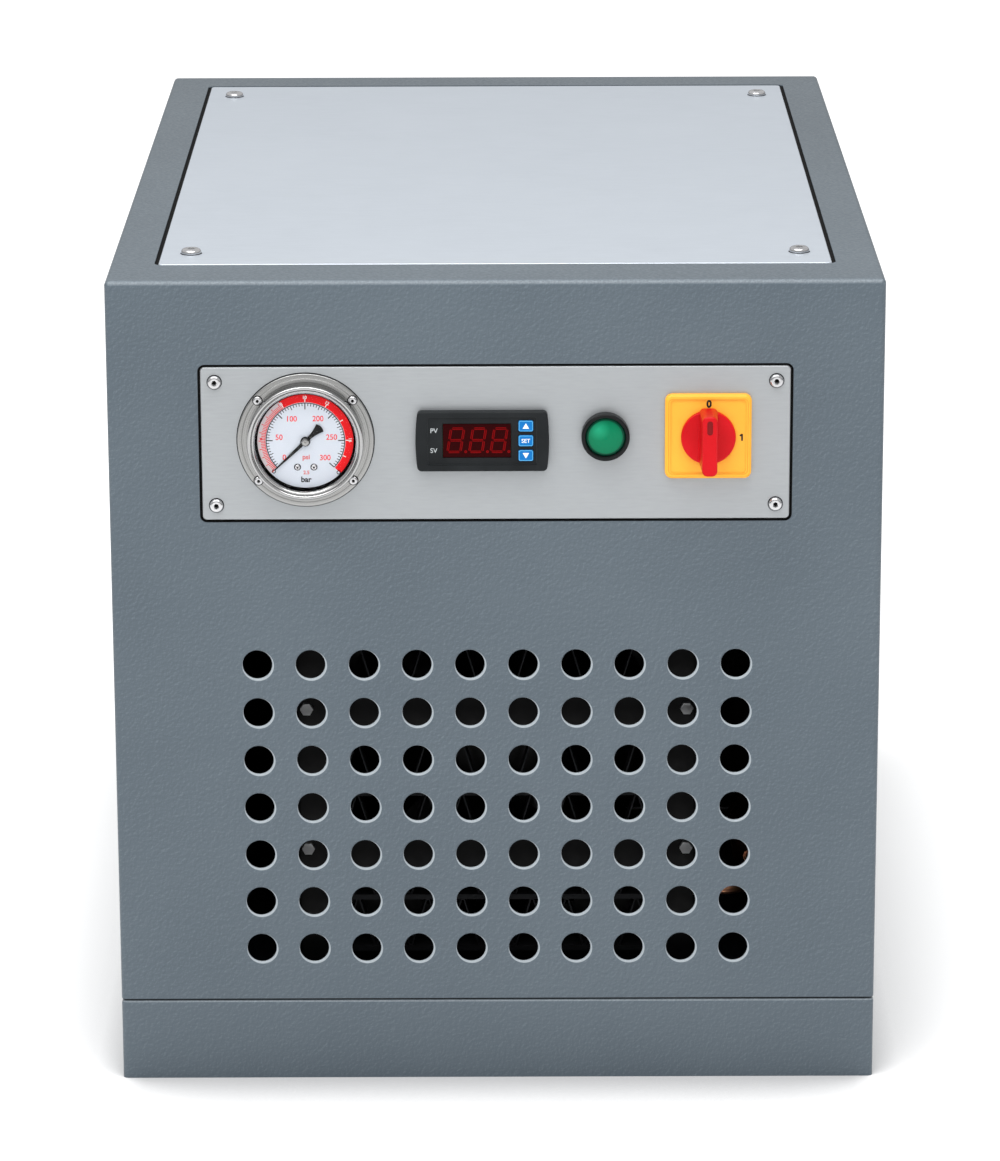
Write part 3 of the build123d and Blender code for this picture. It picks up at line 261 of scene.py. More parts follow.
powderLook = {
    "shade": (0.082, 0.105, 0.126),
    "paler": (0.094, 0.119, 0.141),
    # painted shade and painted glints of the coat's relief
    "hollow": (0.066, 0.087, 0.105),
    "paintedGlint": (0.17, 0.21, 0.24),
    "peelScale": 560.0,                           # bumps of about 2 mm
    "peelDepth": 0.00016,
    "reliefLightShift": (0.0003, 0.0, -0.0004),
    # painted shade along the seam, and a painted highlight along the plinth's top edge just below it
    "seam": {"height": 48.25, "half": 0.6, "paintedShade": (0.012, 0.015, 0.018), "lip": 47.05, "lipHalf": 0.45},
    "paintedGlintScale": 900.0,
    "roughness": (0.30, 0.44),
    "rim": (0.34, 0.38, 0.41),                    # colour of the painted highlights on punched rims and edges
    "hole": {"radius": 9.2, "pitch": (30.15, 28.42), "middle": (15.075, 165.14),
             "shift": (0.38, -0.56), "rows": (70.0, 262.0), "columns": 150.0, "front": -316.5},
    "edge": {"front": -319.0, "top": 473.0, "reach": 2.7},
}


def wrapped(coat, value, middle, pitch):
    shifted = coat.math("SUBTRACT", value, middle * mm)
    return coat.math("WRAP", shifted, pitch / 2 * mm, -pitch / 2 * mm)


def paintedHighlights(coat, look):
    # Painted highlights: a bright crescent at the lower right of each punched hole's rim, a bright band along the
    # hood's front top edge, and a fainter band along the plinth's top edge
    here = coat.parts()
    hole = look["hole"]
    across = coat.math("SUBTRACT", wrapped(coat, here["X"], hole["middle"][0], hole["pitch"][0]),
                       hole["shift"][0] * mm)
    upward = coat.math("SUBTRACT", wrapped(coat, here["Z"], hole["middle"][1], hole["pitch"][1]),
                       hole["shift"][1] * mm)
    out = coat.math("SQRT", coat.math("ADD", coat.math("POWER", across, 2.0), coat.math("POWER", upward, 2.0)))
    rim = coat.spread(out, 1.0, 0.0, (hole["radius"] - 0.30) * mm, (hole["radius"] - 0.05) * mm)
    low, high = hole["rows"]
    inside = coat.math("MULTIPLY", coat.math("GREATER_THAN", here["Z"], low * mm),
                       coat.math("LESS_THAN", here["Z"], high * mm))
    ahead = coat.math("LESS_THAN", here["Y"], hole["front"] * mm)
    ahead = coat.math("MULTIPLY", ahead, coat.math("LESS_THAN", coat.math("ABSOLUTE", here["X"]),
                                                   hole["columns"] * mm))
    rim = coat.math("MULTIPLY", rim, coat.math("MULTIPLY", inside, ahead))
    edge = look["edge"]
    # Painted highlight along the hood's front top edge
    slope = coat.math("SUBTRACT", here["Z"], here["Y"])
    corner = (edge["top"] - edge["front"]) * mm
    edgeHighlight = coat.spread(slope, 0.0, 0.60, corner - edge["reach"] * mm, corner - edge["reach"] * 0.5 * mm)
    broken = coat.spread(coat.noise(900.0, 3.0), 0.55, 1.0, 0.38, 0.62)
    seam = look["seam"]
    # Painted highlight along the plinth's top edge, below the seam
    lip = coat.math("COMPARE", here["Z"], seam["lip"] * mm, seam["lipHalf"] * mm)
    lip = coat.math("MULTIPLY", lip, 0.45)
    edgeHighlight = coat.math("MULTIPLY", coat.math("MAXIMUM", edgeHighlight, lip), broken)
    return coat.math("MAXIMUM", rim, edgeHighlight)


def powderCoat(name, look):
    coat = Recipe(name)
    cloud = coat.spread(coat.noise(9.0, 4.0), 0.0, 1.0)
    base = coat.blended(cloud, look["shade"], look["paler"])
    # Painted glints: small light flecks scattered over the coat
    glintFleck = coat.spread(coat.noise(look["paintedGlintScale"], 2.0), 0.0, 0.35, 0.66, 0.78)
    # Painted relief: each bump is coloured lighter on one side and darker on the other, as light and shade would fall
    # on it
    raised = coat.noise(look["peelScale"], 2.5)
    shifted = coat.noise(look["peelScale"], 2.5, coat.mapped((1, 1, 1), look["reliefLightShift"]))
    paintedRelief = coat.math("SUBTRACT", raised, shifted)
    base = coat.blended(coat.spread(paintedRelief, 0.0, 0.42, 0.02, 0.20), base, look["paintedGlint"])
    base = coat.blended(coat.spread(paintedRelief, 0.5, 0.0, -0.20, -0.02), base, look["hollow"])
    glintFlecked = coat.blended(glintFleck, base, look["paintedGlint"])
    # Painted shade: a dark line along the seam between plinth and hood
    seam = coat.math("COMPARE", coat.parts()["Z"], look["seam"]["height"] * mm, look["seam"]["half"] * mm)
    withHighlights = coat.blended(paintedHighlights(coat, look), glintFlecked, look["rim"])
    coat.set(Base_Color=coat.blended(seam, withHighlights, look["seam"]["paintedShade"]), Specular_IOR_Level=0.28)
    peel = coat.noise(look["peelScale"], 2.5)
    fine = coat.noise(look["peelScale"] * 3.1, 1.0)
    coat.set(Roughness=coat.spread(peel, *look["roughness"]))
    first = coat.bump(fine, look["peelDepth"] * 0.25)
    coat.set(Normal=coat.bump(peel, look["peelDepth"], 1.0, first))
    return coat.material


brushedLook = {
    "top": {"shade": (0.50, 0.545, 0.60), "paler": (0.56, 0.605, 0.66), "roughness": (0.44, 0.52),
            "metal": 0.6, "grain": (60.0, 900.0, 900.0)},
    "panel": {"shade": (0.33, 0.347, 0.36), "paler": (0.365, 0.382, 0.395), "roughness": (0.40, 0.48),
              "metal": 0.45, "grain": (90.0, 900.0, 900.0)},
    # the condenser's aluminium coloured near black: painted shade inside the cabinet
    "condenser": {"shade": (0.012, 0.013, 0.015), "paler": (0.024, 0.025, 0.028), "roughness": (0.45, 0.6),
                  "metal": 0.7, "grain": (300.0, 300.0, 900.0)},
}


def brushedMetal(name, look, depth=0.00001):
    # Long fine streaks along X
    sheet = Recipe(name)
    streak = sheet.noise(1.0, 4.0, sheet.mapped(look["grain"]), 0.6)
    cloud = sheet.noise(14.0, 3.0)
    tone = sheet.blended(sheet.spread(streak, 0.0, 1.0), look["shade"], look["paler"])
    sheet.set(Base_Color=sheet.blended(sheet.spread(cloud, 0.0, 0.35), tone, look["paler"]))
    sheet.set(Metallic=look["metal"], Roughness=sheet.spread(streak, *look["roughness"]))
    sheet.set(Normal=sheet.bump(streak, depth))
    return sheet.material


metalLooks = {
    # colour, paler colour, roughness low and high, metallic, scale of the pattern, depth of the bump
    "screwSteel": ((0.46, 0.46, 0.47), (0.56, 0.56, 0.57), (0.14, 0.22), 1.0, 700.0, 0.000008),
    "zincSteel": ((0.52, 0.53, 0.54), (0.68, 0.69, 0.70), (0.28, 0.42), 1.0, 160.0, 0.00001),
    "satinSteel": ((0.27, 0.27, 0.265), (0.36, 0.36, 0.355), (0.24, 0.32), 1.0, 420.0, 0.00001),
    "polishedSteel": ((0.36, 0.36, 0.36), (0.44, 0.44, 0.44), (0.10, 0.16), 1.0, 300.0, 0.000004),
    "plainSteel": ((0.34, 0.34, 0.34), (0.46, 0.46, 0.46), (0.32, 0.46), 1.0, 220.0, 0.00002),
    "brass": ((0.60, 0.42, 0.17), (0.72, 0.53, 0.24), (0.20, 0.32), 1.0, 260.0, 0.00001),
    "nickelBrass": ((0.60, 0.58, 0.53), (0.72, 0.70, 0.65), (0.16, 0.27), 1.0, 260.0, 0.00001),
    "copper": ((0.55, 0.25, 0.14), (0.70, 0.36, 0.22), (0.22, 0.40), 1.0, 90.0, 0.00002),
    "compressorBlack": ((0.010, 0.010, 0.011), (0.020, 0.020, 0.022), (0.25, 0.42), 0.0, 260.0, 0.00006),
    # black paint, darkened further as painted shade inside the cabinet
    "shadedBlackSteel": ((0.0015, 0.0015, 0.002), (0.0035, 0.0035, 0.004), (0.4, 0.55), 0.0, 240.0, 0.00003),
    "motorGrey": ((0.10, 0.11, 0.12), (0.14, 0.15, 0.16), (0.38, 0.5), 0.0, 300.0, 0.00005),
    "gaugeBlack": ((0.006, 0.006, 0.006), (0.014, 0.014, 0.014), (0.3, 0.42), 0.0, 600.0, 0.00001),
}


def metal(name):
    shade, paler, roughness, metallic, scale, depth = metalLooks[name]
    piece = Recipe(name)
    cloud = piece.noise(scale, 3.0)
    wide = piece.noise(scale * 0.13, 3.0)
    piece.set(Base_Color=piece.blended(piece.spread(wide, 0.0, 1.0), shade, paler))
    piece.set(Metallic=metallic, Roughness=piece.spread(cloud, *roughness), Specular_IOR_Level=0.2)
    piece.set(Normal=piece.bump(cloud, depth))
    return piece.material


def turnedSteel(name):
    # Fine rings round the gauge, as the lathe left them
    shade, paler, roughness, metallic, scale, depth = metalLooks[name]
    piece = Recipe(name)
    out = piece.fromPoint(-106.5 * mm, 382.0 * mm)
    line = piece.add("ShaderNodeCombineXYZ")
    piece.join(out, line.inputs["X"])
    rings = piece.noise(1400.0, 3.0, line.outputs["Vector"])
    piece.set(Base_Color=piece.blended(piece.spread(rings, 0.0, 1.0, 0.35, 0.65), shade, paler))
    piece.set(Metallic=metallic, Roughness=piece.spread(rings, *roughness))
    piece.set(Normal=piece.bump(rings, 0.00003))
    return piece.material


plasticLooks = {
    # colour, paler colour, roughness low and high, scale of the grain, depth of the grain
    "charcoalPlastic": ((0.0075, 0.009, 0.010), (0.012, 0.014, 0.0155), (0.38, 0.50), 1500.0, 0.000018),
    "blackPlastic": ((0.004, 0.0045, 0.005), (0.009, 0.0095, 0.010), (0.26, 0.38), 1300.0, 0.000012),
    "displayRed": ((0.022, 0.0004, 0.0008), (0.030, 0.0006, 0.001), (0.12, 0.2), 300.0, 0.000004),
    "keyBlue": ((0.002, 0.145, 0.44), (0.004, 0.165, 0.49), (0.32, 0.42), 1600.0, 0.00001),
    "lensGreen": ((0.0015, 0.17, 0.075), (0.003, 0.21, 0.095), (0.24, 0.34), 900.0, 0.000008),
    "switchYellow": ((0.90, 0.415, 0.040), (0.94, 0.445, 0.048), (0.30, 0.40), 1300.0, 0.000012),
    "switchRed": ((0.52, 0.002, 0.006), (0.60, 0.004, 0.010), (0.26, 0.38), 1200.0, 0.00002),
    "markerDark": ((0.16, 0.004, 0.005), (0.22, 0.008, 0.009), (0.4, 0.5), 900.0, 0.00001),
    "dialWhite": ((0.60, 0.64, 0.71), (0.65, 0.69, 0.76), (0.42, 0.5), 700.0, 0.000004),
    "circuitBoard": ((0.015, 0.11, 0.045), (0.025, 0.15, 0.06), (0.3, 0.42), 500.0, 0.00001),
    "rubber": ((0.012, 0.012, 0.012), (0.025, 0.024, 0.023), (0.6, 0.75), 600.0, 0.00004),
    "foamJacket": ((0.018, 0.018, 0.019), (0.04, 0.04, 0.042), (0.75, 0.9), 260.0, 0.0003),
    "sealAndShadeBlack": ((0.0008, 0.0008, 0.0008), (0.0015, 0.0015, 0.0015), (0.8, 0.95), 600.0, 0.00002),
    "printRed": ((0.80, 0.008, 0.012), (0.86, 0.012, 0.016), (0.42, 0.5), 900.0, 0.000003),
    "printPale": ((0.62, 0.55, 0.57), (0.68, 0.60, 0.62), (0.42, 0.5), 900.0, 0.000003),
    "printPink": ((0.66, 0.15, 0.15), (0.72, 0.19, 0.19), (0.42, 0.5), 900.0, 0.000003),
    "grooveShadeOrange": ((0.62, 0.24, 0.02), (0.68, 0.28, 0.03), (0.4, 0.5), 900.0, 0.000003),
    "printWhite": ((0.84, 0.84, 0.84), (0.90, 0.90, 0.90), (0.42, 0.5), 900.0, 0.000003),
    "printBlack": ((0.010, 0.010, 0.012), (0.020, 0.020, 0.022), (0.42, 0.5), 900.0, 0.000003),
    "windowHighlightGrey": ((0.030, 0.034, 0.037), (0.040, 0.044, 0.047), (0.4, 0.5), 900.0, 0.000003),
    "printGrey": ((0.42, 0.45, 0.46), (0.50, 0.53, 0.54), (0.42, 0.5), 900.0, 0.000003),
    "digitCore": ((0.055, 0.0008, 0.001), (0.07, 0.001, 0.0014), (0.3, 0.4), 900.0, 0.000003),
    "digitRed": ((0.17, 0.001, 0.002), (0.21, 0.002, 0.003), (0.3, 0.4), 900.0, 0.000003),
    "keyPale": ((0.10, 0.42, 0.72), (0.13, 0.46, 0.76), (0.3, 0.4), 900.0, 0.000003),
}


def plastic(name):
    shade, paler, roughness, scale, depth = plasticLooks[name]
    piece = Recipe(name)
    grain = piece.noise(scale, 3.0)
    wide = piece.noise(scale * 0.04, 3.0)
    piece.set(Base_Color=piece.blended(piece.spread(wide, 0.0, 1.0), shade, paler))
    shine = 0.03 if name in ("displayRed", "digitRed", "digitCore") else 0.14
    piece.set(Roughness=piece.spread(grain, *roughness), Specular_IOR_Level=shine)
    piece.set(Normal=piece.bump(grain, depth))
    return piece.material


lensLook = {
    "place": (61.5, 384.1),                       # X and Z of its middle
    "rim": (9.3, 9.9),                            # millimetres, where the painted shade begins
    "rimShade": (0.0008, 0.055, 0.028),
    "highlightTonePlace": (57.6, 388.6),
    "highlightTone": (0.02, 0.36, 0.19),
}


def greenLens(look):
    # Painted shade towards its rim, and a painted highlight as a soft patch at the upper left
    lens = Recipe("lensGreen")
    x, z = look["place"]
    out = lens.fromPoint(x * mm, z * mm)
    highlightToneX, highlightToneZ = look["highlightTonePlace"]
    highlightPatch = lens.spread(lens.fromPoint(highlightToneX * mm, highlightToneZ * mm), 0.75, 0.0, 0.0, 6.5 * mm)
    rings = lens.spread(lens.math("SINE", lens.math("MULTIPLY", out, 2600.0)), 0.0, 0.10, -1.0, 1.0)
    shade, paler = plasticLooks["lensGreen"][:2]
    body = lens.blended(rings, lens.blended(highlightPatch, shade, look["highlightTone"]), paler)
    edge = lens.spread(out, 0.0, 1.0, *(value * mm for value in look["rim"]))
    lens.set(Base_Color=lens.blended(edge, body, look["rimShade"]), Specular_IOR_Level=0.12)
    lens.set(Roughness=lens.spread(lens.noise(900.0, 3.0), 0.16, 0.26))
    return lens.material


def clearGlass():
    pane = Recipe("clearGlass")
    smear = pane.noise(60.0, 3.0)
    pane.set(Base_Color=(1.0, 1.0, 1.0), Roughness=pane.spread(smear, 0.0, 0.03))
    pane.set(Transmission_Weight=1.0, IOR=1.05)
    return pane.material


finishes = {name: metal(name) for name in metalLooks}
finishes.update({name: plastic(name) for name in plasticLooks})
finishes["powderCoat"] = powderCoat("powderCoat", powderLook)
finishes["topAluminium"] = brushedMetal("topAluminium", brushedLook["top"])
finishes["panelAluminium"] = brushedMetal("panelAluminium", brushedLook["panel"])
finishes["shadedCondenserAluminium"] = brushedMetal("shadedCondenserAluminium", brushedLook["condenser"])
finishes["clearGlass"] = clearGlass()
finishes["lensGreen"] = greenLens(lensLook)
finishes["satinSteel"] = turnedSteel("satinSteel")
finishes["polishedSteel"] = turnedSteel("polishedSteel")

# The record's slot of each node gives its finish
slotFinish = {
    "powder_coat": "powderCoat",
    "rear_coat": "powderCoat",
    "plate_aluminium": "topAluminium",
    "panel_aluminium": "panelAluminium",
    "bright_screws": "screwSteel",
    "zinc_steel": "zincSteel",
    "gauge_steel": "satinSteel",
    "gauge_bright": "polishedSteel",
    "gauge_black": "gaugeBlack",
    "dial_white": "dialWhite",
    "gauge_glass": "clearGlass",
    "brass": "brass",
    "charcoal_plastic": "charcoalPlastic",
    "circuit_board": "circuitBoard",
    "display_red": "displayRed",
    "key_blue": "keyBlue",
    "black_plastic": "blackPlastic",
    "lens_green": "lensGreen",
    "switch_yellow": "switchYellow",
    "switch_red": "switchRed",
    "marker_dark": "markerDark",
    "plain_steel": "plainSteel",
    "condenser_aluminium": "shadedCondenserAluminium",
    "motor_grey": "motorGrey",
    "compressor_black": "compressorBlack",
    "rubber": "rubber",
    "foam_jacket": "foamJacket",
    "nickel_brass": "nickelBrass",
    "copper": "copper",
    "black_steel": "shadedBlackSteel",
}


def dressNodes():
    for entry in frame["record"]["subparts"]:
        for place in frame["nodes"][entry["node"]].material_slots:
            place.material = finishes[slotFinish[entry["material_slot"]]]


dressNodes()
print("the finishes are on the nodes")

# Hand tools: each works on the piece that was just added, in its own frame with Z outwards
def addPrimitive(kind, **settings):
    bpy.ops.object.select_all(action="DESELECT")
    getattr(bpy.ops.mesh, f"primitive_{kind}_add")(**settings)
    return bpy.context.object


def pickFaces(piece, wanted):
    # Edit mode with only the faces selected whose centre and normal fit
    bpy.ops.object.mode_set(mode="EDIT")
    bpy.ops.mesh.select_mode(type="FACE")
    bpy.ops.mesh.select_all(action="DESELECT")
    bpy.ops.object.mode_set(mode="OBJECT")
    for face in piece.data.polygons:
        face.select = wanted(face.center, face.normal)
    bpy.ops.object.mode_set(mode="EDIT")


def pickEdges(piece, wanted):
    # The same for edges, by their two ends
    bpy.ops.object.mode_set(mode="EDIT")
    bpy.ops.mesh.select_mode(type="EDGE")
    bpy.ops.mesh.select_all(action="DESELECT")
    bpy.ops.object.mode_set(mode="OBJECT")
    spots = piece.data.vertices
    for edge in piece.data.edges:
        edge.select = wanted(*(spots[i].co for i in edge.vertices))
    bpy.ops.object.mode_set(mode="EDIT")


def stopEditing():
    bpy.ops.object.mode_set(mode="OBJECT")


def cleanMesh():
    # In edit mode: doubles merged and every face outwards
    bpy.ops.mesh.select_all(action="SELECT")
    bpy.ops.mesh.remove_doubles(threshold=0.000001)
    bpy.ops.mesh.normals_make_consistent(inside=False)
    bpy.ops.object.mode_set(mode="OBJECT")


def applyPlace(piece):
    bpy.ops.object.select_all(action="DESELECT")
    piece.select_set(True)
    bpy.context.view_layer.objects.active = piece
    bpy.ops.object.transform_apply(location=True, rotation=True, scale=True)


def movedTo(piece, x, y, z=0.0, turn=0.0):
    # Millimetres and degrees, still in the flat frame
    piece.rotation_euler = (0, 0, math.radians(turn))
    piece.location = (x * mm, y * mm, z * mm)
    applyPlace(piece)
    return piece


def copied(piece):
    twin = piece.copy()
    twin.data = piece.data.copy()
    bpy.context.scene.collection.objects.link(twin)
    return twin


def joined(pieces):
    bpy.ops.object.select_all(action="DESELECT")
    for piece in pieces:
        piece.select_set(True)
    bpy.context.view_layer.objects.active = pieces[0]
    if len(pieces) > 1:
        bpy.ops.object.join()
    return bpy.context.object


def spun(profile, steps=96, start=0.0, turn=360.0):
    # (radius, height) points turned clockwise about Z, from that many degrees after the top
    sine, cosine = math.sin(math.radians(start)), math.cos(math.radians(start))
    piece = addPrimitive("plane", size=mm)
    bpy.ops.object.mode_set(mode="EDIT")
    bpy.ops.mesh.select_mode(type="VERT")
    bpy.ops.mesh.select_all(action="SELECT")
    bpy.ops.mesh.merge(type="CENTER")
    here = (0.0, 0.0)
    for number, there in enumerate(profile):
        out, up = (there[0] - here[0]) * mm, (there[1] - here[1]) * mm
        step = (out * sine, out * cosine, up)
        if number:
            bpy.ops.mesh.extrude_region_move(TRANSFORM_OT_translate={"value": step})
        else:
            bpy.ops.transform.translate(value=step)
        here = there
    bpy.ops.mesh.select_all(action="SELECT")
    bpy.ops.mesh.remove_doubles(threshold=0.0000001)
    bpy.ops.mesh.spin(steps=steps, angle=math.radians(turn), center=(0, 0, 0), axis=(0, 0, 1))
    cleanMesh()
    return piece


def arc(middleRadius, middleHeight, radius, first, last, count=8):
    # Points of a round in a spun profile, by angle in degrees from straight out
    angles = [math.radians(first + (last - first) * i / count) for i in range(count + 1)]
    return [(middleRadius + radius * math.cos(a), middleHeight + radius * math.sin(a)) for a in angles]


def flatFrame(width, height, corner, rim):
    # A flat rounded rectangle, or with a rim only its border
    piece = addPrimitive("plane", size=1)
    piece.scale = (width * mm, height * mm, 1)
    applyPlace(piece)
    bpy.ops.object.mode_set(mode="EDIT")
    bpy.ops.mesh.select_mode(type="VERT")
    bpy.ops.mesh.select_all(action="SELECT")
    bpy.ops.mesh.bevel(offset=corner * mm, segments=8, affect="VERTICES")
    if rim:
        bpy.ops.mesh.select_all(action="SELECT")
        bpy.ops.mesh.inset(thickness=rim * mm)
        bpy.ops.mesh.delete(type="FACE")
    stopEditing()
    return piece


def thickened(piece, thickness, softened=0.0):
    # Grows along +Z from the flat shape
    grow = piece.modifiers.new("grow", "SOLIDIFY")
    grow.thickness = thickness * mm
    grow.offset = 1.0
    bpy.context.view_layer.objects.active = piece
    bpy.ops.object.modifier_apply(modifier="grow")
    if softened:
        soft = piece.modifiers.new("soft", "BEVEL")
        soft.width = softened * mm
        soft.segments = 3
        soft.limit_method = "ANGLE"
        bpy.ops.object.modifier_apply(modifier="soft")
    return piece


def printed(words, height, x, y, lift, turn=0.0, bold=0.03, widen=1.0):
    # Flat lettering of a cap height in millimetres
    bpy.ops.object.select_all(action="DESELECT")
    bpy.ops.object.text_add()
    piece = bpy.context.object
    piece.data.body = words
    piece.data.offset = bold
    bpy.ops.object.convert(target="MESH")
    bpy.ops.object.origin_set(type="ORIGIN_GEOMETRY", center="BOUNDS")
    factor = height * mm / piece.dimensions.y
    piece.scale = (factor * widen, factor, factor)
    return movedTo(piece, x, y, lift, turn)


def seat(piece, name, finish, body, place, smooth=35.0, facing="front"):
    # The last step of every piece: turned to its wall, moved into its mesh, dressed and mounted
    if facing == "front":
        piece.rotation_euler = (math.radians(90), 0, 0)
    piece.location = place
    applyPlace(piece)
    bpy.ops.object.shade_smooth_by_angle(angle=math.radians(smooth))
    piece.name = name
    piece.data.materials.clear()
    piece.data.materials.append(finishes[finish])
    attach(piece, body)
    return piece


def seats(node, inset, plane):
    # Where the screws of a node stand: the corners of its box, half a head inwards
    low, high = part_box(node)
    first = sorted({round(low.x + inset * mm, 5), round(high.x - inset * mm, 5)})
    axis = 1 if plane == "top" else 2
    second = sorted({round(low[axis] + inset * mm, 5), round(high[axis] - inset * mm, 5)})
    return [(x, second_) for x in first for second_ in second]


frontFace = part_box("control_panel")[0].y

# Button-head screws with a hexagon socket
screwLook = {
    "panelScrews": {"node": "panel_screws", "head": 3.9, "height": 2.2, "socket": 1.45, "rise": 0.0},
    "flangeScrews": {"node": "gauge_flange_screws", "head": 2.5, "height": 1.6, "socket": 0.95, "rise": 1.6},
    "dialScrews": {"node": "gauge_dial_screws", "head": 1.6, "height": 0.8, "socket": 0.6, "rise": 3.0},
    "topScrews": {"node": "top_plate_screws", "head": 5.75, "height": 3.0, "socket": 2.0, "rise": 0.0},
}


def socketScrew(look):
    head, high = look["head"], look["height"]
    crown = head * 0.62
    round_ = [(crown + (head - crown) * math.sin(a), high * (0.3 + 0.7 * math.cos(a)))
              for a in (math.radians(d) for d in range(0, 91, 15))]
    screw = spun([(0, high)] + round_ + [(head, high * 0.12), (head - 0.15, 0), (0, 0)], 48)
    cutter = addPrimitive("cylinder", vertices=6, radius=look["socket"] * mm, depth=high * 1.2 * mm,
                          location=(0, 0, high * mm))
    pickEdges(cutter, lambda a, b: abs(a.z - b.z) > 0.1 * mm)
    bpy.ops.mesh.bevel(offset=0.12 * mm, segments=2)
    stopEditing()
    applyPlace(cutter)
    cut = screw.modifiers.new("socket", "BOOLEAN")
    cut.operation = "DIFFERENCE"
    cut.object = cutter
    bpy.context.view_layer.objects.active = screw
    bpy.ops.object.modifier_apply(modifier="socket")
    bpy.data.objects.remove(cutter)
    rim = screw.modifiers.new("rim", "BEVEL")
    rim.width = head * 0.035 * mm
    rim.segments = 2
    rim.limit_method = "ANGLE"
    rim.angle_limit = math.radians(50)
    bpy.ops.object.modifier_apply(modifier="rim")
    return screw


def makeScrews(name, look, facing, places):
    # One screw, copied with its socket turned a little further each time
    first = socketScrew(look)
    copies = [copied(first) for _ in places]
    bpy.data.objects.remove(first)
    for number, (screw, (x, y)) in enumerate(zip(copies, places)):
        movedTo(screw, x / mm, y / mm, look["rise"], 17 + number * 23)
    piece = joined(copies)
    place = (0, frontFace, 0) if facing == "front" else (0, 0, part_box("top_plate")[1].z)
    # Painted shade: a black disc in each socket and a thin black ring round each head, where shade falls
    paintedShade = []
    for number, (x, y) in enumerate(places):
        turn = 17 + number * 23
        floor = look["rise"] + look["height"] * 0.42
        paintedShade.append(movedTo(spun([(0, 0), (look["socket"] * 0.9, 0)], 6), x / mm, y / mm, floor, turn))
        ring = [(look["head"] - 0.1, 0), (look["head"] + 0.4, 0), (look["head"] + 0.3, 0.15),
                (look["head"] - 0.1, 0.15), (look["head"] - 0.1, 0)]
        paintedShade.append(movedTo(spun(ring, 40), x / mm, y / mm, look["rise"]))
    seat(joined(paintedShade), name + "Shade", "sealAndShadeBlack", "cabinet", place, 35, facing)
    seat(piece, name, "screwSteel", "cabinet", place, 30, facing)
    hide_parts(look["node"])


for screwName, look in screwLook.items():
    facing = "top" if screwName == "topScrews" else "front"
    places = seats(look["node"], look["head"], facing)
    if screwName == "dialScrews":
        places = sorted({(x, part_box(look["node"])[0].z + look["head"] * mm) for x, _ in places})
    makeScrews(screwName, look, facing, places)
print("the screws are in")


# Pressure gauge: turned rings, print and pointer cap
gaugeLook = {
    "place": (-106.5, 382.0),                     # X and Z of the arbor
    "flange": (38.3, 30.3, 1.6),                  # outer and inner radius, thickness
    "dialFront": 3.0,
    "scale": (21.7, 133.5),                       # radius, and degrees each side of the top
    "divisions": 60,
    "band": (22.4, 26.9),
    "solidFrom": -33.0,
    "numbers": {"0": (-11.9, -9.3), "50": (-14.7, 2.3), "100": (-7.3, 12.9),
                "200": (7.2, 13.0), "250": (14.7, 2.3), "300": (11.0, -9.5)},
    "numberHeight": 3.2,
}
gaugeSpot = (gaugeLook["place"][0] * mm, frontFace, gaugeLook["place"][1] * mm)


def makeGaugeRings(look):
    outer, inner, thick = look["flange"]
    edge = arc(outer - 0.7, thick - 0.7, 0.7, 0, 90, 5)
    face = [(35.9, thick), (35.7, thick - 0.16), (35.5, thick)]
    flange = spun([(inner, 0), (outer, 0)] + edge + face + [(inner, thick), (inner, 0)], 160)
    seat(flange, "flangeRing", "satinSteel", "cabinet", gaugeSpot, 30)
    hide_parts("gauge_flange")
    foot = [(30.35, 7.0), (30.35, thick), (32.6, thick)]
    bead = arc(31.5, 7.9, 1.1, 0, 170, 10)
    groove = [(30.25, 7.75)]
    lip = arc(29.5, 7.6, 0.65, 20, 150, 7) + [(28.35, 7.35), (28.2, 7.05), (30.35, 7.0)]
    bezel = spun(foot + bead + groove + lip, 160)
    seat(bezel, "bezelRing", "polishedSteel", "cabinet", gaugeSpot, 40)
    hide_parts("gauge_bezel")


def makeGasket():
    # Black ring between the dial and the lip of the bezel: a gasket, coloured black also as painted shade inside the
    # bezel
    ring = spun([(26.9, 3.05), (28.2, 3.05), (28.2, 5.35), (27.9, 5.35), (27.2, 4.2), (26.9, 3.05)], 120)
    seat(ring, "dialGasket", "sealAndShadeBlack", "cabinet", gaugeSpot)
    foot = spun([(38.2, -0.02), (38.75, -0.02), (38.75, 0.12), (38.2, 0.3), (38.2, -0.02)], 160)
    seat(foot, "flangeSeal", "sealAndShadeBlack", "cabinet", gaugeSpot)


def tick(inner, outer, width, angle, lift):
    mark = addPrimitive("plane", size=1)
    mark.scale = (width * mm, (outer - inner) * mm, 1)
    applyPlace(mark)
    middle = (inner + outer) / 2
    turn = math.radians(angle)
    return movedTo(mark, middle * math.sin(turn), middle * math.cos(turn), lift, -angle)


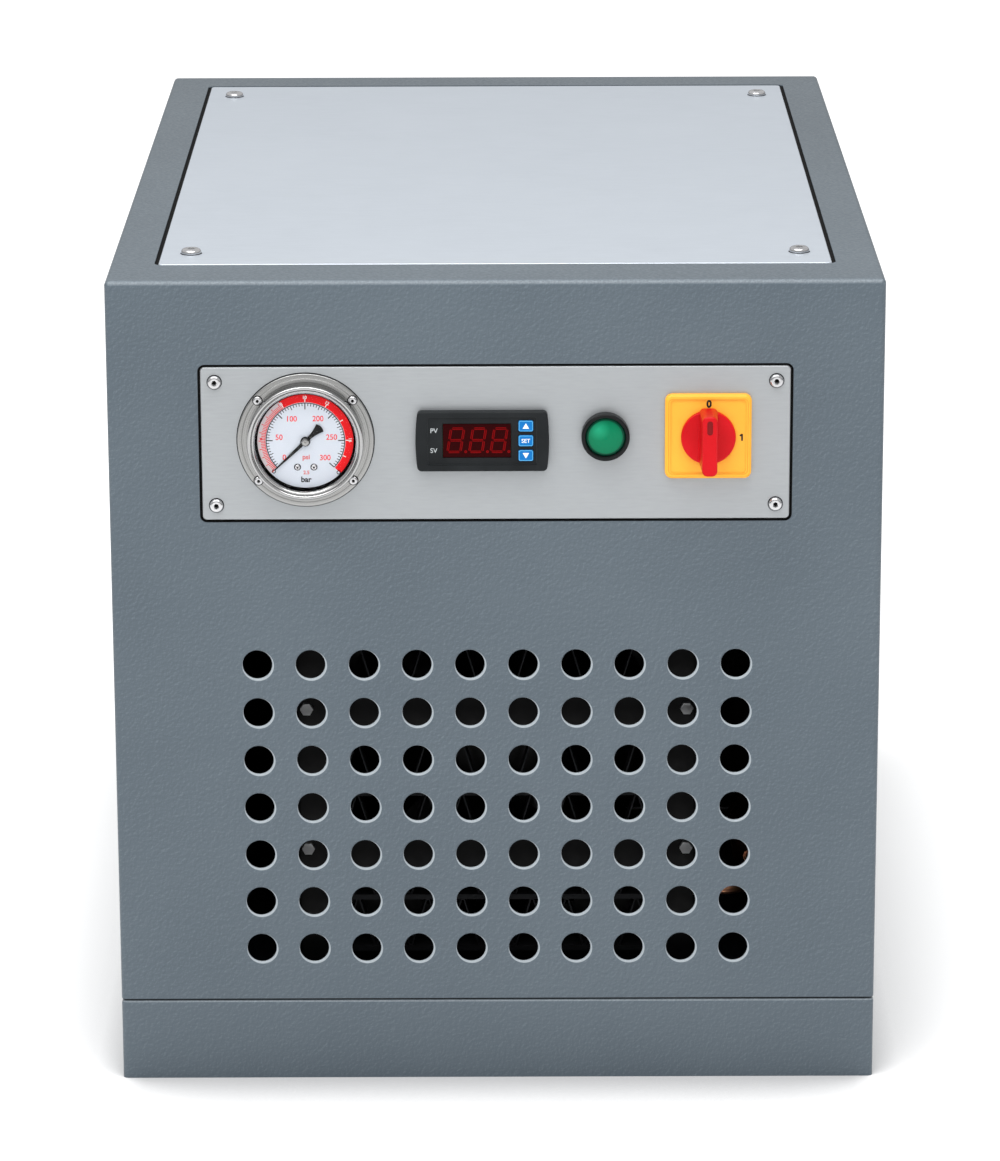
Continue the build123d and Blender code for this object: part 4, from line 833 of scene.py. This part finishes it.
def makeDialPrint(look):
    radius, half = look["scale"]
    lift = look["dialFront"] + 0.02
    top = lift + 0.02
    low, high = look["band"]

    def onDial(pieces, name, finish):
        seat(joined(pieces), name, finish, "cabinet", gaugeSpot)

    solid = spun([(low, lift), (high, lift)], 90, look["solidFrom"], half - look["solidFrom"])
    onDial([solid], "redBand", "printRed")
    pale = spun([(low, lift), (high, lift)], 60, -half, look["solidFrom"] + half)
    onDial([pale], "paleBand", "printPale")
    marks = []
    for number in range(47):
        angle = -half + number * (look["solidFrom"] + half) / 46
        long = number % 5 == 0
        marks.append(tick(low + 0.1, low + (3.8 if long else 2.5), 0.42, angle, top))
    marks += [printed("4", 2.0, -24.9, 1.2, top, 60), spun([(low, top), (low + 0.35, top)], 60, -half, 100.5)]
    onDial(marks, "redTicks", "printRed")
    white = [tick(low + 0.2, low + 1.9, 0.5, angle, top) for angle in (-32, 0, 30, 60, 89, 112)]
    white += [printed(word, 1.9, 25.2 * math.sin(math.radians(angle)), 25.2 * math.cos(math.radians(angle)),
                      top, -angle) for word, angle in (("8", -32), ("10", 0), ("12", 30), ("16", 89))]
    onDial(white, "whiteMarks", "printWhite")
    black = [spun([(radius, lift), (radius + 0.5, lift)], 120, -half, 2 * half)]
    for number in range(look["divisions"] + 1):
        angle = -half + 2 * half * number / look["divisions"]
        inner = radius - (3.4 if number % 10 == 0 else 2.4 if number % 5 == 0 else 1.5)
        black.append(tick(inner, radius + 0.1, 0.42 if number % 10 else 0.6, angle, lift))
    black += [movedTo(spun([(0.7, 0), (1.15, 0)], 24), x, y, top) for x, y in ((-17.9, -17.5), (18.4, -18.1))]
    black.append(printed("bar", 3.3, 0.3, -22.1, lift))
    onDial(black, "blackScale", "printBlack")
    red = [printed(word, look["numberHeight"], x, y, lift, 0, 0.012, 0.95) for word, (x, y) in look["numbers"].items()]
    onDial(red, "redNumbers", "printRed")
    pink = [printed("psi", 3.6, 0.3, -9.6, lift), printed("2.5", 2.2, 0.3, -18.1, lift)]
    onDial(pink, "paleWords", "printPink")


def makePointerCap():
    cap = spun([(0, 6.15), (1.5, 6.15), (1.95, 6.0), (2.1, 5.7), (2.1, 4.75), (0, 4.75)], 40)
    slotCut = addPrimitive("cube", size=1)
    slotCut.scale = (3.0 * mm, 0.5 * mm, 0.6 * mm)
    slotCut.location = (0, 0, 6.15 * mm)
    slotCut.rotation_euler = (0, 0, math.radians(-30))
    applyPlace(slotCut)
    cut = cap.modifiers.new("slot", "BOOLEAN")
    cut.operation = "DIFFERENCE"
    cut.object = slotCut
    bpy.context.view_layer.objects.active = cap
    bpy.ops.object.modifier_apply(modifier="slot")
    bpy.data.objects.remove(slotCut)
    seat(cap, "pointerCap", "satinSteel", "pointer", gaugeSpot)


makeGaugeRings(gaugeLook)
makeGasket()
makeDialPrint(gaugeLook)
makePointerCap()
print("the gauge is in")


# Temperature controller: a painted highlight round its sunk face, lettering, digits, and borders and signs on the keys
controllerLook = {
    "place": (-7.5, 381.8),
    "face": 4.5,                                  # height of the sunk face above the panel
    "screen": 4.2,
    "windowHighlight": (61.2, 27.5, 1.4, 0.28),
    "faceRise": 0.5,
    "digitSize": (7.2, 13.4),
    "digitBars": {"digitRed": (1.35, 0.03), "digitCore": (0.5, 0.05)},
    "digitPlaces": (-14.8, -2.6, 9.4),
    "digitSlant": 0.16,
    "keyPlace": 24.4,
    "keyRows": {"up_key": 9.0, "set_key": 0.5, "down_key": -8.0},
    "keySize": (8.2, 6.3),
    "keyFront": 5.2,
}
controllerSpot = (controllerLook["place"][0] * mm, frontFace, controllerLook["place"][1] * mm)


def bar(length, width, x, y, lift, turn):
    # One bar of a digit, pointed at both ends
    piece = addPrimitive("plane", size=1)
    piece.scale = ((length - width) * mm, width * mm, 1)
    applyPlace(piece)
    for side in (-1, 1):
        pickEdges(piece, lambda a, b: a.x * side > 0 and b.x * side > 0 and abs(a.x - b.x) < 0.01 * mm)
        bpy.ops.mesh.extrude_region_move(TRANSFORM_OT_translate={"value": (side * width / 2 * mm, 0, 0)})
        bpy.ops.mesh.merge(type="CENTER")
        stopEditing()
    return movedTo(piece, x, y, lift, turn)


def digitBars(look, middle, thick, lift):
    wide, tall = look["digitSize"]
    across, up = wide / 2, tall / 2
    lean = look["digitSlant"]
    upright = 90 - math.degrees(math.atan(lean))
    bars = [bar(wide - 0.4, thick, y * lean, y, lift, 0) for y in (-up, 0, up)]
    bars += [bar(up - 0.4, thick, x + y * lean, y, lift, upright)
             for x in (-across, across) for y in (-up / 2, up / 2)]
    point = movedTo(spun([(0, 0), (thick * 0.6, 0)], 20), across + 1.9, -up + 0.1, lift)
    return movedTo(joined(bars + [point]), middle, 0.7, 0)


def makeController(look):
    lift = look["face"] + 0.02
    # Painted highlight: a lighter grey line round the edge of the sunk face
    line = movedTo(flatFrame(*look["windowHighlight"]), 0, look["faceRise"], lift)
    seat(line, "controllerWindowHighlight", "windowHighlightGrey", "cabinet", controllerSpot)
    words = [printed("PV", 2.7, -26.9, 6.3, lift, 0, 0.008), printed("SV", 2.7, -27.1, -5.1, lift, 0, 0.008)]
    seat(joined(words), "controllerWords", "printGrey", "cabinet", controllerSpot)
    for finish, (thick, rise) in look["digitBars"].items():
        digits = [digitBars(look, x, thick, look["screen"] + rise) for x in look["digitPlaces"]]
        seat(joined(digits), finish + "Bars", finish, "cabinet", controllerSpot)
    wide, tall = look["keySize"]
    for body, row in look["keyRows"].items():
        front = look["keyFront"] + 0.02
        border = movedTo(flatFrame(wide - 0.4, tall - 0.4, 0.9, 0.32), look["keyPlace"], row, front)
        seat(border, body + "Border", "keyPale", body, controllerSpot)
        sign = keySign(body, look["keyPlace"], row, front)
        seat(sign, body + "Sign", "printWhite", body, controllerSpot)


def keySign(body, x, y, lift):
    if body == "set_key":
        return printed("SET", 2.3, x, y, lift, 0, 0.015)
    turn = 0 if body == "up_key" else 180
    arrow = addPrimitive("circle", vertices=3, radius=2.1 * mm, fill_type="NGON")
    return movedTo(arrow, x, y - (0.45 if turn == 0 else -0.45), lift, turn)


makeController(controllerLook)
print("the controller is in")


# Switch plate: painted shade along its sunk line, and its figures
switchLook = {
    "place": (119.0, 383.9),
    "field": 3.0,                                 # height of the plate's sunk field
    "rimFront": 3.6,
    "line": (44.7, 43.6, 2.5, 0.35),
}
switchSpot = (switchLook["place"][0] * mm, frontFace, switchLook["place"][1] * mm)


def barShape(wide, high):
    shape = addPrimitive("plane", size=1)
    shape.scale = (wide * mm, high * mm, 1)
    applyPlace(shape)
    return shape


def makeSwitchPrint(look):
    lift = look["field"] + 0.02
    one = [movedTo(barShape(1.0, 4.0), 18.9, -0.5, lift), movedTo(barShape(0.9, 1.7), 18.35, 0.85, lift, -52)]
    figures = [printed("0", 4.6, 0.3, 18.8, lift, 0, 0.055, 0.95)] + one
    seat(joined(figures), "switchFigures", "printBlack", "cabinet", switchSpot)
    # Painted shade: a darker orange line along the groove round the sunk field
    wide, high, corner, rim = look["line"]
    line = movedTo(flatFrame(wide, high, corner, rim), 0, 0, look["rimFront"] + 0.02)
    seat(line, "switchGrooveShade", "grooveShadeOrange", "cabinet", switchSpot)


makeSwitchPrint(switchLook)
print("the switch is in")


# Black seal strips in the gaps round the panel and the top plate: gaskets, coloured black also as painted shade in the
# gaps
sealLook = {
    "panel": {"outer": (333.0, 91.2), "corner": 4.0, "gap": 1.5, "low": -1.9, "thickness": 0.9},
    "top": {"outer": (384.6, 561.6), "corner": 4.7, "gap": 2.2, "low": -1.45, "thickness": 0.8},
}


def makeSeal(name, look, place, facing):
    width, height = look["outer"]
    strip = flatFrame(width - 0.1, height - 0.1, look["corner"], look["gap"] - 0.1)
    strip = movedTo(thickened(strip, look["thickness"]), 0, 0, look["low"])
    seat(strip, name, "sealAndShadeBlack", "cabinet", place, 35, facing)


panelLow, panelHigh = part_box("control_panel")
makeSeal("panelSeal", sealLook["panel"], (0, frontFace, (panelLow.z + panelHigh.z) / 2), "front")
plateLow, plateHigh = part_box("top_plate")
makeSeal("topSeal", sealLook["top"], (0, (plateLow.y + plateHigh.y) / 2, plateHigh.z), "top")
print("the seals are in")
